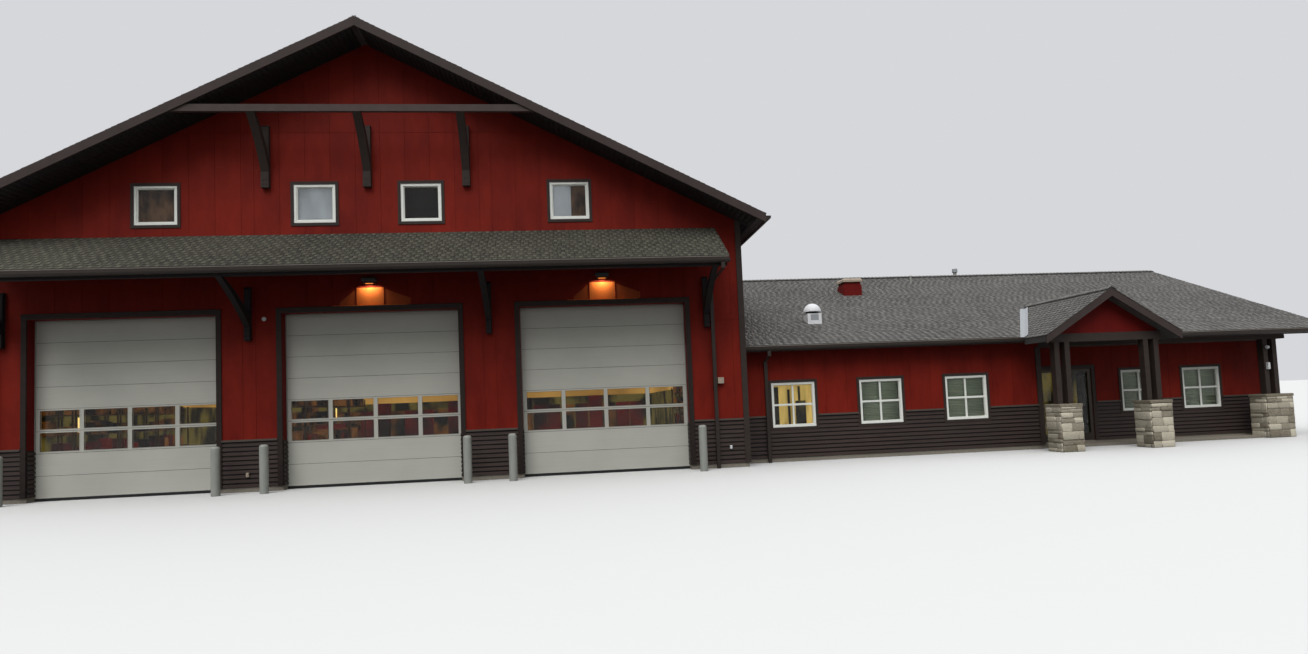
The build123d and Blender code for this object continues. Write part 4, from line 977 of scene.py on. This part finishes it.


# ---- Lights over the doors, with the glow they throw on the wall: real lamps, and boards with the glow painted in ----
def warm_glow(name, place, width, depth, colour, tilt):
    """A lamp that shines down the wall."""
    glow = bpy.data.lights.new(name, "AREA")
    glow.shape = "RECTANGLE"
    glow.size = width
    glow.size_y = depth
    glow.spread = radians(150)
    glow.energy = 1.9
    glow.color = colour
    lamp = new_object(name, glow)
    lamp.location = place
    lamp.rotation_euler = (radians(tilt), 0, 0)


BOARD_FOOT = DOOR_TOP + 0.145
housings, lenses, boards, painted_side_glow_boards, battens = blanks(5)
for centre in LIT_BAYS:
    slab(housings, "front", centre, 0.17, (-0.2, -0.005), (5.055, 5.14))
    slab(lenses, "front", centre, 0.09, (-0.13, -0.07), (5.004, 5.009))
    warm_glow("panel_glow", (centre, HALL_FRONT - 0.1, 4.97), 0.5, 0.05, (1.0, 0.95, 0.6), 14)
    warm_glow("wall_glow", (centre, HALL_FRONT - 0.12, 5.0), 0.1, 0.06, (1.0, 0.92, 0.5), 12)
    # The middle board and the ledge over the door head carry the lamp's light painted in
    slab(boards, "front", centre, 0.33, (-0.012, -0.001), (BOARD_FOOT, 4.92))
    slab(boards, "front", centre, 0.9, (-0.05, -0.001), (DOOR_TOP + 0.128, DOOR_TOP + 0.143))
    # Side boards with a dimmer painted glow: cut off aslant at the top, each to its own reach, where the painted
    # light ends
    for side, far, drop in ((-1, 0.74, 0.32), (1, 0.98, 0.24)):
        board = block(painted_side_glow_boards, (0.352, -0.011, BOARD_FOOT), (far, -0.001, 4.88))
        for vert in board:
            if vert.co.x > 0.4 and vert.co.z > 4.8:
                vert.co.z -= drop
            vert.co.x = centre + side * vert.co.x
        bmesh.ops.transform(painted_side_glow_boards, matrix=walls["front"], verts=board)
        slab(battens, "front", centre + side * 0.34, 0.012, (-0.024, -0.001), (BOARD_FOOT, 4.93))
ease(housings, 0.012, 2)
ease(battens, 0.003)
face_out(painted_side_glow_boards)
keep("light_housings", housings, "dark_louvre", "bronze_metal")
keep("light_lenses", lenses, "lamp_lens", "bronze_metal")
keep("painted_glow_boards", boards, "painted_glow_board", "red_siding")
keep("painted_side_glow_boards", painted_side_glow_boards, "painted_side_glow_board", "red_siding")
keep("light_battens", battens, "red_jambs", "red_siding")

# ---- Small fittings on the walls, bolts and straps ----
SPOUT_HALF = 0.051
SPOUT_X = 8.61975
straps, boxes, pale_boxes, balls = blanks(4)
for x, wall_y, heights in ((-SPOUT_X, HALL_FRONT, (0.4, 2.1, 3.8)), (SPOUT_X, HALL_FRONT, (0.4, 2.1, 3.8)),
                           (HALL_HALF + 0.75, WING_FRONT, (0.4, 1.9))):
    for z in heights:
        block(straps, (x - SPOUT_HALF, wall_y - 0.141, z), (x + SPOUT_HALF, wall_y - 0.134, z + 0.03))
        for side in (-1, 1):
            low, high = sorted((x + side * SPOUT_HALF, x + side * 0.045))
            block(straps, (low, wall_y - 0.141, z), (high, wall_y - 0.01, z + 0.03))
for shape, x, z, wide, high in ((boxes, -2.944, 0.415, 0.07, 0.11), (pale_boxes, 8.969, 0.53, 0.06, 0.09)):
    slab(shape, "front", x, wide / 2, (-0.075, -0.02), (z - high / 2, z + high / 2))
in_wall(boxes, "front", (8.69, -0.13, 2.18), (8.85, -0.009, 2.34))
block(pale_boxes, (25.33, HALL_FRONT + 0.80, 2.0), (25.4, HALL_FRONT + 0.885, 2.2))
ease(boxes, 0.012, 2)
ease(pale_boxes, 0.01, 2)
for x, y, z, radius, squash in ((-2.539, HALL_FRONT - 0.012, 4.205, 0.055, 0.5),
                                (25.37, HALL_FRONT + 0.83, 2.65, 0.06, 1.0)):
    placing = Matrix.Translation((x, y, z)) @ Matrix.Diagonal((1, squash, 1, 1))
    bmesh.ops.create_uvsphere(balls, u_segments=20, v_segments=12, radius=radius, matrix=placing)
for face in balls.faces:
    face.smooth = True
keep("downspout_straps", straps, "gutter_metal", "gutter_metal")
keep("wall_box_light", boxes, "tan_metal", "tan_metal")
keep("outlet_covers", pale_boxes, "white_metal", "white_metal")
keep("round_fittings", balls, "white_metal", "white_metal")

bolt = bmesh.new()
drum(bolt, 6, 0.016, 0.013, 0.016)
GABLE_FOOT, PENT_FOOT = 7.455, 3.67
bracket_feet = [(x, GABLE_FOOT + rise) for x in (-2.438, 0.0, 2.438) for rise in (0.07, 0.19)]
bracket_feet += [(x, PENT_FOOT + rise) for x in (-8.46975, -2.895625, 2.895625, 8.46975) for rise in (0.06, 0.17)]
bolts = [Matrix.Translation((x + side, HALL_FRONT - 0.14, z)) @ Matrix.Rotation(radians(90), 4, "X")
         for x, z in bracket_feet for side in (-0.035, 0.035)]
keep("bracket_bolts", copies(bolt, bolts), "bronze", "bronze_metal")

# The round vent, the square vent and the pipe on the wing's roof
louvres, panels, neck, collar = blanks(4)
x, y = 12.09, HALL_FRONT + 2.29
stand = wing_top(y) + 0.23
drum(louvres, 32, 0.185, 0.185, 0.06, (x, y, stand + 0.03))
block(panels, (x - 0.12, y - 0.214, stand - 0.2), (x + 0.12, y - 0.209, stand - 0.03))
x, y = 14.42, HALL_FRONT + 5.27
stand = wing_top(y) + 0.25
block(neck, (x - 0.28, y - 0.28, stand), (x + 0.28, y + 0.28, stand + 0.07))
block(louvres, (x - 0.27, y - 0.27, stand + 0.07), (x + 0.27, y + 0.27, stand + 0.09))
x, y = HALL_HALF + 10.051, HALL_FRONT + 7.65
drum(collar, 24, 0.1, 0.095, 0.13, (x, y, wing_top(y) + 0.45))
keep("vent_neck", neck, "red_jambs", "red_siding")
keep("vent_louvres", louvres, "dark_louvre", "bronze_metal")
keep("pipe_collar", collar, "vent_panel", "galvanised")
keep("vent_panels", panels, "vent_panel", "galvanised")

# ---- The carried-over pieces take their finishes ----
node_finishes = {
    "concrete": ("footings", "hall_floor", "wing_floor"),
    "red_jambs": ("hall_front_piers", "hall_front_gable", "hall_rear_wall", "hall_left_wall", "hall_right_wall",
                  "wing_front_wall", "wing_rear_wall", "wing_end_wall", "porch_back_wall", "porch_return_wall",
                  "entry_gable_wall", "box_vent"),
    "roof_shingles": ("hall_roof_left", "hall_roof_right", "wing_roof_front", "wing_roof_rear", "entry_roof_left",
                      "entry_roof_right", "ridge_caps"),
    "pent_shingles": ("pent_roof",),
    "brown_boards": ("collar_beam",),
    "eave_boards": ("rake_boards", "eave_fascias"),
    "dark_timber": ("gable_brackets", "porch_beams", "porch_posts", "porch_ceiling", "hall_corner_boards",
                    "wing_corner_boards", "wing_end_gable", "window_trims"),
    # the door trims take the dark timber with painted shade
    "door_trim_painted_shade": ("door_side_trims", "door_head_trims"),
    # the pent's beam and brackets take the near-black timber with painted shade
    "soffit_timber_painted_shade": ("pent_beam", "pent_brackets"),
    "dark_laps": ("wainscot_boards",),
    "cap_trim": ("wainscot_caps",),
    "door_steel": ("left_door", "middle_door", "right_door"),
    "glass": ("door_glass", "window_glass", "entry_door_glass"),
    "vinyl": ("window_frames",),
    "gutter_metal": ("gutters", "downspouts"),
    "rubber": ("door_seals",),
    "mortar": ("stone_plinths",),
    "bronze": ("bay_lights", "entry_door"),
    "galvanised": ("bollards", "vent_pipes"),
    "white_metal": ("dome_vent",),
    "tan_metal": ("box_vent_cap",),
}
for finish, names in node_finishes.items():
    for name in names:
        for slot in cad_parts[name].material_slots:
            slot.material = finishes[finish]


# ---- Stage: floor, light and camera ----
def seen_directly(graph):
    """One for what the camera sees, also in metal and through glass, and nothing for other light."""
    rays = node(graph, "ShaderNodeLightPath", {}).outputs
    seen = reckon(graph, "MAXIMUM", rays["Is Camera Ray"], rays["Is Glossy Ray"])
    return reckon(graph, "MAXIMUM", seen, rays["Is Transmission Ray"])


def pale_floor():
    graph, shader = new_finish("pale_floor", {"Roughness": 0.9})
    plug(graph, shader, {"Base Color": between(graph, seen_directly(graph), (62, 61, 58), (205, 205, 203))})
    shape = bmesh.new()
    bmesh.ops.create_grid(shape, x_segments=1, y_segments=1, size=400, matrix=Matrix.Translation((0, 0, -0.003)))
    floor = new_object("floor", as_mesh("floor", shape))
    floor.data.materials.append(finishes["pale_floor"])


def studio_light():
    world = bpy.data.worlds.new("studio")
    bpy.context.scene.world = world
    world.use_nodes = True
    graph = world.node_tree
    graph.nodes.clear()
    way = node(graph, "ShaderNodeSeparateXYZ", {"Vector": node(graph, "ShaderNodeTexCoord", {}).outputs["Generated"]})
    overcast = reckon(graph, "MULTIPLY_ADD", way.outputs["Z"], 1.4, 0.12)
    light = node(graph, "ShaderNodeBackground", {"Color": (0.95, 0.97, 1.0, 1.0), "Strength": overcast})
    shown = node(graph, "ShaderNodeBackground", {"Color": srgb(214, 215, 219), "Strength": 1.0})
    both = node(graph, "ShaderNodeMixShader", {0: seen_directly(graph), 1: light.outputs[0], 2: shown.outputs[0]})
    node(graph, "ShaderNodeOutputWorld", {"Surface": both.outputs[0]})
    sun = bpy.data.lights.new("soft_key", "SUN")
    sun.energy = 1.95
    sun.angle = radians(44)
    new_object("soft_key", sun).rotation_euler = (radians(38), 0, radians(-24))


def aim_camera():
    """Stands the camera where the building's corners fall as in the picture."""
    yaw, pitch, roll = radians(6.194), radians(3.29), radians(-2.367)
    ahead = Vector((sin(yaw) * cos(pitch), cos(yaw) * cos(pitch), sin(pitch)))
    right = Vector((cos(yaw), -sin(yaw), 0))
    up = right.cross(ahead)
    across = right * cos(roll) + up * sin(roll)
    rise = up * cos(roll) - right * sin(roll)
    lens = bpy.data.cameras.new("front_view")
    lens.sensor_width = 36
    lens.lens = 20.874
    lens.shift_x = 0.0011
    lens.shift_y = 0.0252
    lens.clip_end = 500
    camera = new_object("front_view", lens)
    turned = Matrix((across, rise, -ahead)).transposed().to_4x4()
    camera.matrix_world = Matrix.Translation((4.91, HALL_FRONT - 19.465, 1.735)) @ turned
    bpy.context.scene.camera = camera


pale_floor()
studio_light()
aim_camera()
bpy.context.scene.view_settings.view_transform = "Standard"
